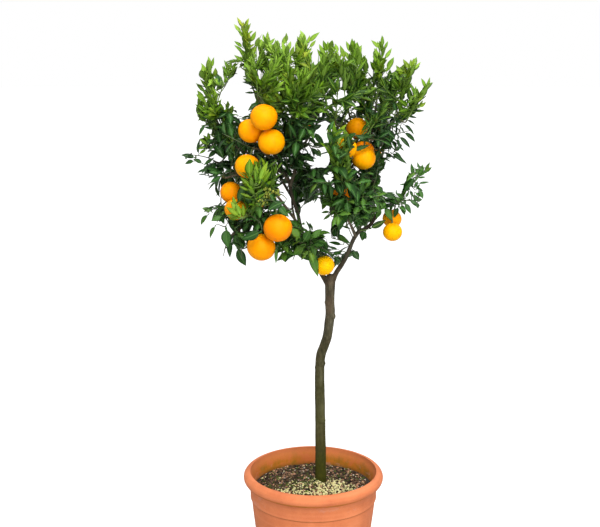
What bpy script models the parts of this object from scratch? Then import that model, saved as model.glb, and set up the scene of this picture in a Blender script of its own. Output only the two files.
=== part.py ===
"""Potted bitter orange tree: a terracotta pot, its soil, the grafted tree's wood, its fruit and its leafy shoots.

Metres, +Z up. The origin is the centre of the pot's underside, and the front of the tree faces -Y.
"""

import math
import random

import bmesh
import bpy
from mathutils import Matrix, Vector
from mathutils.bvhtree import BVHTree

# Pot, a turned terracotta pot with a bulging rim over a plain collar
POT_HEIGHT = 0.35
RIM_RADIUS = 0.20
MOUTH_RADIUS = 0.1825
RIM_TALL = 0.034
COLLAR_RADIUS = 0.182
COLLAR_TALL = 0.045
BODY_RADIUS = 0.1775
BASE_RADIUS = 0.145
WALL = 0.010
FLOOR = 0.014
FOOT_BEVEL = 0.004
POT_SIDES = 32
DRAIN_HOLES = 4
DRAIN_RADIUS = 0.008
DRAIN_CIRCLE = 0.075

# Soil, a low mound that leaves the rim clear
SOIL_EDGE = 0.298
SOIL_CROWN = 0.020
SOIL_BUMP = 0.0025
SOIL_RINGS = 6

# Clearance between touching pieces
GAP = 0.0003

# Faces nearer to one plane than this, in radians, count as one flat face
FLAT_ANGLE = 0.015

# Wood: radii in metres, and routes as hand-placed points from root to end
TRUNK_FOOT_X = 0.021
TRUNK_DEPTH = 0.065
TRUNK_RADII = (0.015, 0.0125)
TRUNK_SIDES = 12
TRUNK = [
    (0.021, 0.0, 0.34), (0.020, 0.0, 0.435), (0.018, 0.0, 0.57), (0.017, 0.0, 0.645), (0.020, 0.0, 0.69),
    (0.030, 0.0, 0.72), (0.038, 0.0, 0.745), (0.043, 0.0, 0.785), (0.046, 0.0, 0.815), (0.0445, 0.0, 0.845),
    (0.045, 0.0, 0.905),
]
BRANCHES = {
    "limb_right": (0.0095, 0.0070, [
        (0.045, 0.0, 0.885), (0.060, -0.005, 0.925), (0.075, -0.01, 0.95), (0.09, -0.02, 0.98),
        (0.105, -0.025, 1.02), (0.12, -0.025, 1.045),
    ]),
    "riser": (0.0062, 0.0030, [
        (0.12, -0.025, 1.045), (0.15, -0.015, 1.06), (0.17, 0.005, 1.085), (0.18, 0.03, 1.105),
        (0.17, 0.05, 1.135), (0.16, 0.06, 1.17), (0.155, 0.06, 1.22), (0.155, 0.055, 1.275),
        (0.165, 0.05, 1.34), (0.17, 0.05, 1.395),
    ]),
    "limb_left": (0.0095, 0.0030, [
        (0.044, 0.0, 0.885), (0.015, 0.01, 0.935), (0.0, 0.02, 0.965), (-0.025, 0.03, 1.0),
        (-0.035, 0.03, 1.04), (-0.045, 0.025, 1.09), (-0.06, 0.02, 1.135), (-0.07, 0.01, 1.185),
        (-0.085, 0.0, 1.21), (-0.105, 0.0, 1.25), (-0.115, 0.01, 1.29), (-0.13, 0.02, 1.345),
        (-0.15, 0.015, 1.405),
    ]),
    "leader": (0.0050, 0.0028, [
        (-0.066, 0.012, 1.165), (-0.05, 0.02, 1.215), (-0.04, 0.03, 1.265), (-0.03, 0.035, 1.31),
        (-0.03, 0.035, 1.355), (-0.03, 0.035, 1.4),
    ]),
    "left_arm": (0.0045, 0.0026, [
        (-0.08, 0.002, 1.20), (-0.12, 0.03, 1.22), (-0.165, 0.04, 1.245), (-0.21, 0.03, 1.27),
        (-0.24, 0.015, 1.295), (-0.26, 0.0, 1.34), (-0.275, -0.01, 1.385),
    ]),
    "left_low_arm": (0.0042, 0.0026, [
        (-0.038, 0.03, 1.05), (-0.07, 0.0, 1.10), (-0.11, -0.03, 1.155), (-0.155, -0.05, 1.19),
        (-0.20, -0.075, 1.205), (-0.235, -0.09, 1.20),
    ]),
    "left_hang_arm": (0.0040, 0.0026, [
        (-0.033, 0.03, 1.03), (-0.08, 0.01, 1.075), (-0.14, -0.02, 1.085), (-0.19, -0.05, 1.065),
        (-0.225, -0.06, 1.04),
    ]),
    "front_fruit_arm": (0.0036, 0.0030, [
        (-0.075, 0.012, 1.072), (-0.095, -0.06, 1.115), (-0.11, -0.12, 1.135), (-0.112, -0.155, 1.14),
    ]),
    "front_left_arm": (0.0040, 0.0032, [
        (-0.115, 0.01, 1.285), (-0.125, -0.05, 1.345), (-0.14, -0.10, 1.385), (-0.145, -0.14, 1.415),
    ]),
    "front_left_low_arm": (0.0036, 0.0026, [
        (-0.07, 0.01, 1.18), (-0.10, -0.05, 1.23), (-0.14, -0.10, 1.272), (-0.16, -0.115, 1.28),
    ]),
    "front_mid_arm": (0.0034, 0.0026, [
        (-0.052, 0.02, 1.21), (-0.05, -0.03, 1.255), (-0.045, -0.08, 1.3),
    ]),
    "front_low_arm": (0.0034, 0.0026, [
        (0.0, 0.02, 0.962), (-0.015, -0.02, 0.99), (-0.03, -0.05, 1.01),
    ]),
    "front_right_arm": (0.0040, 0.0026, [
        (0.113, -0.025, 1.032), (0.10, -0.06, 1.065), (0.085, -0.10, 1.10), (0.075, -0.14, 1.145),
    ]),
    "right_arm": (0.0040, 0.0026, [
        (0.178, 0.028, 1.10), (0.205, 0.03, 1.112), (0.23, 0.02, 1.122), (0.245, 0.01, 1.14),
    ]),
    "right_fruit_arm": (0.0034, 0.0028, [
        (0.157, 0.06, 1.225), (0.175, 0.02, 1.262), (0.168, -0.03, 1.29), (0.14, -0.065, 1.3),
        (0.103, -0.097, 1.312),
    ]),
    "middle_fruit_arm": (0.0030, 0.0024, [
        (0.158, 0.06, 1.18), (0.12, 0.045, 1.20), (0.09, 0.025, 1.21),
    ]),
    "upper_right_arm": (0.0038, 0.0026, [
        (0.155, 0.055, 1.26), (0.185, 0.045, 1.295), (0.21, 0.03, 1.33), (0.23, 0.02, 1.365),
    ]),
    "upper_mid_arm": (0.0038, 0.0028, [
        (0.155, 0.06, 1.215), (0.13, 0.085, 1.26), (0.11, 0.08, 1.31), (0.095, 0.06, 1.365),
    ]),
    "back_left_arm": (0.0040, 0.0028, [
        (-0.058, 0.02, 1.13), (-0.08, 0.07, 1.16), (-0.11, 0.12, 1.205), (-0.135, 0.155, 1.26),
    ]),
    "back_mid_arm": (0.0036, 0.0028, [
        (-0.042, 0.03, 1.26), (-0.02, 0.08, 1.285), (-0.005, 0.13, 1.32), (0.005, 0.165, 1.365),
    ]),
    "back_right_arm": (0.0038, 0.0028, [
        (0.16, 0.06, 1.165), (0.18, 0.10, 1.195), (0.195, 0.14, 1.235), (0.205, 0.17, 1.28),
    ]),
    "back_low_arm": (0.0038, 0.0026, [
        (-0.036, 0.03, 1.03), (-0.05, 0.08, 1.055), (-0.06, 0.125, 1.09), (-0.062, 0.15, 1.115),
    ]),
}
ARM_SIDES = 6
LIMB_SIDES = 8
LIMBS = ("limb_right", "limb_left", "riser")

# Fruit: centre, radius and the branch whose stalk carries it
FRUITS = [
    ((-0.129, -0.185, 1.363), 0.0344, "front_left_arm"),
    ((-0.166, -0.125, 1.325), 0.0322, "front_left_arm"),
    ((-0.111, -0.158, 1.299), 0.0345, "front_left_arm"),
    ((-0.174, -0.140, 1.235), 0.0325, "front_left_low_arm"),
    ((-0.220, -0.078, 1.159), 0.0304, "left_low_arm"),
    ((-0.207, -0.125, 1.121), 0.0287, "front_fruit_arm"),
    ((-0.158, -0.058, 1.135), 0.0285, "left_low_arm"),
    ((-0.095, -0.200, 1.084), 0.0369, "front_fruit_arm"),
    ((-0.139, -0.160, 1.027), 0.0371, "front_fruit_arm"),
    ((0.027, -0.060, 0.959), 0.0278, "front_low_arm"),
    ((0.116, 0.020, 1.323), 0.0295, "upper_mid_arm"),
    ((0.129, -0.082, 1.251), 0.0316, "right_fruit_arm"),
    ((0.081, -0.115, 1.280), 0.0285, "right_fruit_arm"),
    ((0.133, -0.020, 1.266), 0.0280, "right_fruit_arm"),
    ((0.211, -0.050, 1.049), 0.0261, "right_arm"),
    ((0.214, 0.005, 1.077), 0.0262, "right_arm"),
    ((0.076, 0.000, 1.143), 0.0273, "middle_fruit_arm"),
    ((-0.150, 0.190, 1.200), 0.0310, "back_left_arm"),
    ((-0.030, 0.170, 1.310), 0.0290, "back_mid_arm"),
    ((0.170, 0.200, 1.230), 0.0300, "back_right_arm"),
]
FRUIT_OBLATE = 0.94
FRUIT_SEGMENTS = 10
FRUIT_RINGS = 6
STALK_RADIUS = 0.0020
STALK_RISE = 0.018
STALK_TILT = 0.45
FRUIT_CLEARANCE = 0.007

# Leafy shoots: parent branch, foot, tip and habit
SHOOTS = [
    ("limb_left", (-0.168, 0.005, 1.445), (-0.187, -0.03, 1.592), "young"),
    ("left_arm", (-0.278, -0.012, 1.395), (-0.280, -0.02, 1.497), "young"),
    ("left_arm", (-0.262, 0.0, 1.385), (-0.232, 0.02, 1.478), "young"),
    ("limb_left", (-0.133, 0.03, 1.43), (-0.122, 0.03, 1.572), "young"),
    ("leader", (-0.080, -0.02, 1.415), (-0.073, -0.04, 1.55), "young"),
    ("leader", (-0.028, 0.035, 1.41), (-0.033, 0.03, 1.575), "young"),
    ("leader", (0.010, 0.02, 1.395), (0.043, 0.0, 1.54), "young"),
    ("upper_mid_arm", (0.094, 0.06, 1.375), (0.105, 0.06, 1.555), "young"),
    ("riser", (0.172, 0.05, 1.405), (0.185, 0.04, 1.565), "young"),
    ("upper_right_arm", (0.225, 0.02, 1.375), (0.272, 0.01, 1.505), "young"),
    ("upper_right_arm", (0.250, 0.01, 1.345), (0.303, 0.0, 1.448), "young"),
    ("upper_mid_arm", (0.055, -0.05, 1.35), (0.060, -0.13, 1.45), "young"),
    ("front_mid_arm", (-0.060, -0.09, 1.332), (-0.050, -0.16, 1.435), "young"),
    ("front_left_arm", (-0.140, -0.07, 1.40), (-0.137, -0.14, 1.470), "young"),
    ("left_arm", (-0.250, -0.03, 1.315), (-0.232, -0.06, 1.378), "young"),
    ("left_arm", (-0.277, 0.01, 1.325), (-0.307, 0.0, 1.382), "young"),
    ("left_arm", (-0.268, 0.0, 1.235), (-0.340, -0.02, 1.255), "old"),
    ("left_low_arm", (-0.225, -0.02, 1.205), (-0.287, -0.03, 1.175), "old"),
    ("left_hang_arm", (-0.236, -0.05, 1.120), (-0.290, -0.05, 1.10), "old"),
    ("left_hang_arm", (-0.232, -0.06, 1.028), (-0.245, -0.06, 0.985), "old"),
    ("left_hang_arm", (-0.195, -0.09, 1.040), (-0.193, -0.10, 0.985), "old"),
    ("left_low_arm", (-0.140, -0.14, 1.130), (-0.147, -0.19, 1.235), "young"),
    ("front_low_arm", (-0.028, -0.06, 1.02), (0.005, -0.09, 1.05), "old"),
    ("front_low_arm", (-0.040, -0.05, 1.005), (-0.058, -0.07, 0.975), "old"),
    ("leader", (-0.040, 0.0, 1.285), (0.0, -0.02, 1.275), "old"),
    ("leader", (-0.050, 0.01, 1.225), (0.002, 0.0, 1.195), "old"),
    ("front_right_arm", (0.072, -0.155, 1.185), (0.053, -0.18, 1.315), "young"),
    ("front_right_arm", (0.074, -0.13, 1.135), (0.035, -0.13, 1.11), "old"),
    ("right_arm", (0.247, 0.01, 1.148), (0.305, 0.0, 1.215), "young"),
    ("right_arm", (0.242, 0.02, 1.125), (0.287, 0.0, 1.118), "old"),
    ("limb_right", (0.095, -0.03, 1.010), (0.048, -0.04, 1.030), "old"),
    ("upper_right_arm", (0.200, 0.045, 1.29), (0.262, 0.04, 1.315), "old"),
    ("back_left_arm", (-0.142, 0.170, 1.275), (-0.165, 0.245, 1.37), "young"),
    ("back_mid_arm", (0.008, 0.178, 1.380), (0.02, 0.250, 1.48), "young"),
    ("back_right_arm", (0.210, 0.180, 1.295), (0.23, 0.250, 1.385), "young"),
    ("back_low_arm", (-0.055, 0.165, 1.140), (-0.03, 0.240, 1.180), "old"),
    ("back_left_arm", (-0.120, 0.135, 1.180), (-0.18, 0.205, 1.13), "old"),
]
SHOOT_SIDES = 4
SHOOT_SPANS = 3
TWIG_SPANS = 2
STRAIGHT_END = 0.004
SHOOT_RADII = (0.0018, 0.0010)
TWIG_RADII = (0.0026, 0.0020)
HABITS = {
    "young": {"blades": 7, "length": 0.050, "width": 0.019, "angle": 42.0, "droop": 0.10, "sky": 0.1},
    "old": {"blades": 7, "length": 0.064, "width": 0.026, "angle": 62.0, "droop": 0.30, "sky": 0.9},
}
GOLDEN_ANGLE = 137.5
FIRST_BLADE = 0.12
BLADE_THICK = 0.0012
BLADE_STATIONS = ((0.0, 0.08), (0.34, 0.92), (0.68, 0.80))
CLEAR_MARGIN = 0.0015
TURNS_TRIED = (0, 25, -25, 50, -50, 80, -80)
SIZES_TRIED = (1.0, 0.8, 0.62)

COLOURS = {
    "terracotta": ((0.78, 0.24, 0.10), 0.75),
    "soil": ((0.055, 0.038, 0.028), 0.95),
    "bark": ((0.09, 0.075, 0.05), 0.85),
    "peel": ((1.0, 0.36, 0.0), 0.42),
    "young": ((0.13, 0.26, 0.02), 0.45),
    "old": ((0.02, 0.07, 0.03), 0.40),
}


def clear_scene():
    for thing in list(bpy.data.objects):
        bpy.data.objects.remove(thing, do_unlink=True)


def make_collection(name):
    collection = bpy.data.collections.new(name)
    bpy.context.scene.collection.children.link(collection)
    return collection


def make_material(name):
    colour, roughness = COLOURS[name]
    material = bpy.data.materials.new(name)
    material.use_nodes = True
    shader = material.node_tree.nodes["Principled BSDF"]
    shader.inputs["Base Color"].default_value = (*colour, 1.0)
    shader.inputs["Roughness"].default_value = roughness
    shader.inputs["Metallic"].default_value = 0.0
    return material


def add_object(name, mesh, collection):
    thing = bpy.data.objects.new(name, mesh)
    collection.objects.link(thing)
    return thing


def mesh_from(vertices, faces, name="loose"):
    mesh = bpy.data.meshes.new(name)
    mesh.from_pydata(vertices, [], faces)
    mesh.update()
    return mesh


def evaluated_mesh(thing):
    """The mesh that the object's modifiers give."""
    graph = bpy.context.evaluated_depsgraph_get()
    graph.update()
    return bpy.data.meshes.new_from_object(thing.evaluated_get(graph))


def apply_modifiers(thing):
    mesh = evaluated_mesh(thing)
    thing.modifiers.clear()
    thing.data = mesh


def turned(name, profile, sides, collection):
    """A solid of revolution. The profile runs from the axis round to the axis."""
    edges = [(i, i + 1) for i in range(len(profile) - 1)]
    mesh = bpy.data.meshes.new(name)
    mesh.from_pydata([(radius, 0.0, height) for radius, height in profile], edges, [])
    thing = add_object(name, mesh, collection)
    screw = thing.modifiers.new("turn", "SCREW")
    screw.steps = sides
    screw.render_steps = sides
    screw.use_merge_vertices = True
    screw.merge_threshold = 0.0001
    apply_modifiers(thing)
    return thing


def cylinder(radius, low, high, x, y, sides, collection):
    shape = bmesh.new()
    bmesh.ops.create_cone(
        shape, cap_ends=True, segments=sides, radius1=radius, radius2=radius, depth=high - low
    )
    mesh = bpy.data.meshes.new("cutter")
    shape.to_mesh(mesh)
    shape.free()
    thing = add_object("cutter", mesh, collection)
    thing.location = (x, y, 0.5 * (low + high))
    return thing


def boolean(thing, operands, operation, solver="EXACT"):
    """Cuts or joins the operands, in one Boolean, and removes them."""
    group = make_collection("operands")
    for operand in operands:
        for owner in list(operand.users_collection):
            owner.objects.unlink(operand)
        group.objects.link(operand)
    modifier = thing.modifiers.new(operation, "BOOLEAN")
    modifier.operation = operation
    modifier.solver = solver
    modifier.operand_type = "COLLECTION"
    modifier.collection = group
    apply_modifiers(thing)
    for operand in list(group.objects):
        bpy.data.objects.remove(operand, do_unlink=True)
    bpy.data.collections.remove(group)


def merge_flat_faces(thing):
    """Joins the splinters that a union leaves in flat faces."""
    shape = bmesh.new()
    shape.from_mesh(thing.data)
    bmesh.ops.dissolve_limit(shape, angle_limit=FLAT_ANGLE, verts=shape.verts, edges=shape.edges)
    bmesh.ops.triangulate(shape, faces=shape.faces)
    shape.to_mesh(thing.data)
    shape.free()


def finish(thing, material, smooth=True):
    thing.data.materials.clear()
    thing.data.materials.append(material)
    if smooth:
        thing.data.shade_smooth()
        thing.data.set_sharp_from_angle(angle=math.radians(40))


# Curves


def smooth_route(points, per_span):
    """A Catmull-Rom curve through the points."""
    knots = [Vector(point) for point in points]
    knots = [2 * knots[0] - knots[1]] + knots + [2 * knots[-1] - knots[-2]]
    route = []
    for i in range(1, len(knots) - 2):
        before, start, end, after = knots[i - 1:i + 3]
        for step in range(per_span):
            t = step / per_span
            route.append(0.5 * (
                2 * start + (end - before) * t
                + (2 * before - 5 * start + 4 * end - after) * t * t
                + (3 * start - before - 3 * end + after) * t ** 3
            ))
    route.append(knots[-2])
    return route


def bezier(start, out, into, end, spans):
    """A smooth curve from start to end, aimed at out as it leaves and coming from into."""
    route = []
    for step in range(spans + 1):
        t = step / spans
        route.append(
            (1 - t) ** 3 * start + 3 * t * (1 - t) ** 2 * out + 3 * t * t * (1 - t) * into + t ** 3 * end
        )
    return route


def bent_clear(route, keep_ends=1, own_fruit=None):
    """Moves a route's inner points out of the fruit they would pass through."""
    bent = [point.copy() for point in route]
    for point in bent[keep_ends:len(bent) - keep_ends]:
        for number, (centre, radius, _) in enumerate(FRUITS):
            if number == own_fruit:
                continue
            away = point - Vector(centre)
            room = radius + FRUIT_CLEARANCE
            if away.length < room:
                point += away.normalized() * (room - away.length)
    return bent


def tube(route, radii, sides, collection):
    """A round bar along the route, as a closed mesh."""
    curve = bpy.data.curves.new("route", "CURVE")
    curve.dimensions = "3D"
    curve.bevel_depth = 1.0
    curve.bevel_resolution = (sides - 4) // 2
    curve.use_fill_caps = True
    spline = curve.splines.new("POLY")
    spline.points.add(len(route) - 1)
    for i, (point, place) in enumerate(zip(spline.points, route)):
        point.co = (*place, 1.0)
        point.radius = radii[0] + (radii[1] - radii[0]) * i / (len(route) - 1)
    guide = add_object("guide", curve, collection)
    mesh = evaluated_mesh(guide)
    bpy.data.objects.remove(guide, do_unlink=True)
    shape = bmesh.new()
    shape.from_mesh(mesh)
    bmesh.ops.remove_doubles(shape, verts=shape.verts, dist=0.00001)
    bmesh.ops.recalc_face_normals(shape, faces=shape.faces)
    shape.to_mesh(mesh)
    shape.free()
    return add_object("tube", mesh, collection)


# Pot and soil


def inner_wall(height):
    """The radius of the pot's inner wall at a height."""
    low, high = BASE_RADIUS - WALL, BODY_RADIUS - WALL
    top = POT_HEIGHT - RIM_TALL - COLLAR_TALL
    return low + (high - low) * height / top


def pot_profile():
    collar_top = POT_HEIGHT - RIM_TALL
    collar_low = collar_top - COLLAR_TALL
    half = RIM_TALL / 2
    lip = RIM_RADIUS - half
    rim = [
        (lip + half * math.sin(math.radians(a)), collar_top + half + half * math.cos(math.radians(a)))
        for a in (0, 35, 65, 95, 125, 155)
    ]
    return [
        (0.0, FLOOR), (inner_wall(FLOOR), FLOOR), (inner_wall(collar_top), collar_top),
        (MOUTH_RADIUS, POT_HEIGHT - 0.008), *rim, (COLLAR_RADIUS + 0.002, collar_top - 0.001),
        (COLLAR_RADIUS, collar_top - 0.006), (COLLAR_RADIUS - 0.002, collar_low),
        (BODY_RADIUS, collar_low - 0.002), (BASE_RADIUS, FOOT_BEVEL), (BASE_RADIUS - FOOT_BEVEL, 0.0),
        (0.0, 0.0),
    ]


def make_pot(collection, material):
    pot = turned("pot", pot_profile(), POT_SIDES, collection)
    holes = []
    for i in range(DRAIN_HOLES):
        turn = math.radians(45 + 360 * i / DRAIN_HOLES)
        x, y = DRAIN_CIRCLE * math.cos(turn), DRAIN_CIRCLE * math.sin(turn)
        holes.append(cylinder(DRAIN_RADIUS, -FLOOR, 2 * FLOOR, x, y, 12, collection))
    boolean(pot, holes, "DIFFERENCE")
    finish(pot, material)
    return pot


def soil_top(x, y):
    """The height of the soil's surface: a low mound with lumps."""
    out = math.hypot(x, y) / inner_wall(SOIL_EDGE)
    mound = SOIL_CROWN * (1 - min(out, 1.0) ** 2)
    lumps = math.sin(61 * x + 1.3) * math.cos(53 * y - 0.4) + 0.6 * math.sin(97 * x - 71 * y)
    return SOIL_EDGE + mound + SOIL_BUMP * lumps * max(0.0, 1 - out ** 4)


def make_soil(collection, material):
    edge = inner_wall(SOIL_EDGE) - GAP
    floor = FLOOR + GAP
    rings = [(edge * i / SOIL_RINGS, SOIL_EDGE) for i in range(SOIL_RINGS, -1, -1)]
    profile = [(0.0, floor), (inner_wall(floor) - GAP, floor), *rings]
    soil = turned("soil", profile[::-1], POT_SIDES, collection)
    for vertex in soil.data.vertices:
        if vertex.co.z > SOIL_EDGE - GAP:
            vertex.co.z = soil_top(vertex.co.x, vertex.co.y)
    bottom = soil_top(TRUNK_FOOT_X, 0.0) - TRUNK_DEPTH
    radius = (TRUNK_RADII[0] + GAP) / math.cos(math.pi / TRUNK_SIDES)
    hole = cylinder(radius, bottom - GAP, POT_HEIGHT, TRUNK_FOOT_X, 0.0, TRUNK_SIDES, collection)
    boolean(soil, [hole], "DIFFERENCE")
    finish(soil, material)
    return soil


# Wood


def branch_route(name):
    return bent_clear(smooth_route(BRANCHES[name][2], 1))


def trunk_route():
    bottom = soil_top(TRUNK_FOOT_X, 0.0) - TRUNK_DEPTH
    return [Vector((TRUNK_FOOT_X, 0.0, bottom)), *smooth_route(TRUNK, 1)]


def nearest_place(name, target):
    """The place on a branch nearest to a point, moved towards the root, with the branch's direction there."""
    route = branch_route(name)
    places = []
    for start, end in zip(route, route[1:]):
        for step in range(8):
            places.append((start.lerp(end, step / 8), (end - start).normalized()))
    places.append((route[-1], (route[-1] - route[-2]).normalized()))
    distances = [(place - target).length for place, _ in places]
    best = distances.index(min(distances))
    back = 0.45 * distances[best]
    while best > 0 and back > 0:
        back -= (places[best][0] - places[best - 1][0]).length
        best -= 1
    return places[best]


def shoot_direction(foot, tip, habit):
    """The direction in which a shoot leaves its foot: young ones start outwards and then rise."""
    line = (tip - foot).normalized()
    lift = 0.0 if habit == "young" else 0.35
    return (line + Vector((0, 0, lift))).normalized()


def twig_route(parent, foot, tip, habit):
    foot, tip = Vector(foot), Vector(tip)
    start, along = nearest_place(parent, foot)
    heading = shoot_direction(foot, tip, habit)
    reach = (foot - start).length
    last = foot - heading * STRAIGHT_END
    route = bezier(start, start + along * 0.35 * reach, last - heading * 0.35 * reach, last, TWIG_SPANS)
    return [*bent_clear(route), foot]


def fruit_axis(number):
    """The direction from a fruit's centre to its stalk: up, and leaning towards the branch."""
    centre, radius, parent = FRUITS[number]
    above = Vector(centre) + Vector((0, 0, radius + 2 * STALK_RISE))
    start, _ = nearest_place(parent, above)
    lean = start - Vector(centre)
    lean.z = 0.0
    if lean.length > STALK_TILT * radius:
        lean = lean.normalized() * STALK_TILT * radius
    return (Vector((0, 0, radius)) + lean).normalized()


def stalk_route(number):
    centre, radius, parent = FRUITS[number]
    axis = fruit_axis(number)
    end = Vector(centre) + axis * (radius * FRUIT_OBLATE + GAP)
    start, along = nearest_place(parent, end + axis * STALK_RISE)
    reach = (end - start).length
    out = start + (along + Vector((0, 0, 0.4))) * 0.3 * reach
    last = end + axis * STRAIGHT_END
    into = last + axis * min(STALK_RISE, 0.5 * reach)
    return [*bent_clear(bezier(start, out, into, last, TWIG_SPANS), 1, number), end]


def make_wood(collection, material):
    wood = tube(trunk_route(), TRUNK_RADII, TRUNK_SIDES, collection)
    wood.name = "wood"
    bars = []
    for name, (thick, thin, _) in BRANCHES.items():
        sides = LIMB_SIDES if name in LIMBS else ARM_SIDES
        bars.append(tube(branch_route(name), (thick, thin), sides, collection))
    for parent, foot, tip, habit in SHOOTS:
        bars.append(tube(twig_route(parent, foot, tip, habit), TWIG_RADII, SHOOT_SIDES, collection))
    for number in range(len(FRUITS)):
        radii = (STALK_RADIUS, STALK_RADIUS)
        bars.append(tube(stalk_route(number), radii, SHOOT_SIDES, collection))
    boolean(wood, bars, "UNION", "MANIFOLD")
    merge_flat_faces(wood)
    finish(wood, material)
    return wood


# Fruit


def make_fruit(number, collection, material):
    centre, radius, _ = FRUITS[number]
    shape = bmesh.new()
    bmesh.ops.create_uvsphere(shape, u_segments=FRUIT_SEGMENTS, v_segments=FRUIT_RINGS, radius=radius)
    bmesh.ops.scale(shape, vec=(1.0, 1.0, FRUIT_OBLATE), verts=shape.verts)
    mesh = bpy.data.meshes.new("orange")
    shape.to_mesh(mesh)
    shape.free()
    orange = add_object(f"orange_{number + 1:02d}", mesh, collection)
    orange.location = centre
    orange.rotation_mode = "QUATERNION"
    orange.rotation_quaternion = Vector((0, 0, 1)).rotation_difference(fruit_axis(number))
    finish(orange, material)
    return orange


# Shoots


def shoot_route(foot, tip, habit):
    foot, tip = Vector(foot), Vector(tip)
    start = shoot_direction(foot, tip, habit)
    reach = (tip - foot).length
    first = foot + start * GAP
    second = first + start * STRAIGHT_END
    out = second + start * 0.3 * reach
    into = tip - (tip - out).normalized() * 0.3 * reach
    return [first, *bent_clear(bezier(second, out, into, tip, SHOOT_SPANS))]


def along_route(route, share):
    """The point and direction at a share of the route's length."""
    lengths = [(end - start).length for start, end in zip(route, route[1:])]
    left = share * sum(lengths)
    for start, end, length in zip(route, route[1:], lengths):
        if left <= length or end is route[-1]:
            return start.lerp(end, min(left / length, 1.0)), (end - start).normalized()
        left -= length
    return route[-1], (route[-1] - route[-2]).normalized()


def blade(root, heading, normal, length, width, droop, grow=0.0):
    """An arched, keeled leaf blade: three-point sections from the root to a pointed tip."""
    side = heading.cross(normal).normalized()
    vertices = []
    for share, breadth in BLADE_STATIONS:
        middle = root + heading * length * share - normal * droop * length * share ** 2
        half = side * (0.5 * width * breadth + grow)
        vertices += [middle - half + normal * grow, middle + half + normal * grow]
        vertices.append(middle - normal * (BLADE_THICK + grow))
    vertices.append(root + heading * (length + grow) - normal * droop * length)
    tip = len(vertices) - 1
    faces = [(0, 1, 2)]
    for near in range(0, tip - 3, 3):
        for start, end in ((0, 1), (1, 2), (2, 0)):
            faces.append((near + start, near + end, near + end + 3, near + start + 3))
    for start, end in ((0, 1), (1, 2), (2, 0)):
        faces.append((tip - 3 + start, tip - 3 + end, tip))
    return vertices, faces


def blade_object(vertices, faces, collection):
    mesh = mesh_from(vertices, faces)
    shape = bmesh.new()
    shape.from_mesh(mesh)
    bmesh.ops.recalc_face_normals(shape, faces=shape.faces)
    shape.to_mesh(mesh)
    shape.free()
    return add_object("blade", mesh, collection)


def tree_of(thing):
    """A search tree over an object's faces, in world space."""
    graph = bpy.context.evaluated_depsgraph_get()
    graph.update()
    mesh = thing.data
    places = [thing.matrix_world @ vertex.co for vertex in mesh.vertices]
    return BVHTree.FromPolygons(places, [tuple(face.vertices) for face in mesh.polygons])


def blade_pose(route, index, name, habit, turn, size):
    """One blade's root, heading, upper side and sizes. The last blade ends the shoot."""
    style = HABITS[habit]
    draw = random.Random(f"{name} {index}")
    share = FIRST_BLADE + (0.97 - FIRST_BLADE) * index / (style["blades"] - 1)
    root, along = along_route(route, share)
    spin = math.radians(GOLDEN_ANGLE * index + turn + draw.uniform(-14, 14))
    sideways = along.orthogonal().normalized()
    sideways.rotate(Matrix.Rotation(spin, 3, along))
    angle = math.radians(style["angle"] + draw.uniform(-8, 8))
    if index == style["blades"] - 1:
        angle = math.radians(10)
    heading = (along * math.cos(angle) + sideways * math.sin(angle)).normalized()
    if habit == "old":
        heading = (heading + Vector((0, 0, -0.45))).normalized()
    normal = along * (1 - style["sky"]) + Vector((0, 0, 1)) * style["sky"]
    normal = normal - heading * normal.dot(heading)
    if normal.length < 0.05:
        normal = sideways - heading * sideways.dot(heading)
    taper = 0.75 + 0.5 * math.sin(math.pi * (0.15 + 0.7 * share))
    length = style["length"] * size * taper * draw.uniform(0.9, 1.1)
    width = style["width"] * size * taper * draw.uniform(0.9, 1.1)
    return root, heading, normal.normalized(), length, width, style["droop"]


def place_blades(name, route, habit, obstacles):
    """Blades for a shoot, each turned or shortened until it clears everything else, or left out."""
    placed = []
    for index in range(HABITS[habit]["blades"]):
        tries = [(turn, size) for size in SIZES_TRIED for turn in TURNS_TRIED]
        for turn, size in tries:
            pose = blade_pose(route, index, name, habit, turn, size)
            vertices, faces = blade(*pose, grow=CLEAR_MARGIN)
            probe = BVHTree.FromPolygons(vertices, faces)
            if not any(probe.overlap(tree) for tree in obstacles):
                placed.append(blade(*pose))
                break
    return placed


def make_shoots(collection, materials, solids):
    """Every shoot's stem is made first, so that no blade crosses a stem made later."""
    fixed = [tree_of(solid) for solid in solids]
    names = [f"spray_{i + 1:02d}" for i in range(len(SHOOTS))]
    routes = [shoot_route(foot, tip, habit) for _, foot, tip, habit in SHOOTS]
    stems = [tube(route, SHOOT_RADII, SHOOT_SIDES, collection) for route in routes]
    stem_trees = [tree_of(stem) for stem in stems]
    leafy = []
    for i, (name, route, stem) in enumerate(zip(names, routes, stems)):
        habit = SHOOTS[i][3]
        others = [tree for j, tree in enumerate(stem_trees) if j != i]
        blades = place_blades(name, route, habit, fixed + others + leafy)
        leafy += [BVHTree.FromPolygons(vertices, faces) for vertices, faces in blades]
        parts = [blade_object(vertices, faces, collection) for vertices, faces in blades]
        stem.name = name
        boolean(stem, parts, "UNION", "MANIFOLD")
        merge_flat_faces(stem)
        finish(stem, materials[habit], smooth=False)


def main():
    clear_scene()
    tree = make_collection("potted_bitter_orange_tree")
    materials = {name: make_material(name) for name in COLOURS}
    pot = make_pot(tree, materials["terracotta"])
    soil = make_soil(tree, materials["soil"])
    wood = make_wood(tree, materials["bark"])
    fruit = [make_fruit(number, tree, materials["peel"]) for number in range(len(FRUITS))]
    make_shoots(tree, materials, [pot, soil, wood, *fruit])


main()
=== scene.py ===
"""Potted bitter orange tree: finish, foliage, studio and camera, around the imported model."""

import math
import random

import bmesh
import bpy
import numpy as np
from mathutils import Matrix, Vector, noise


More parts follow.
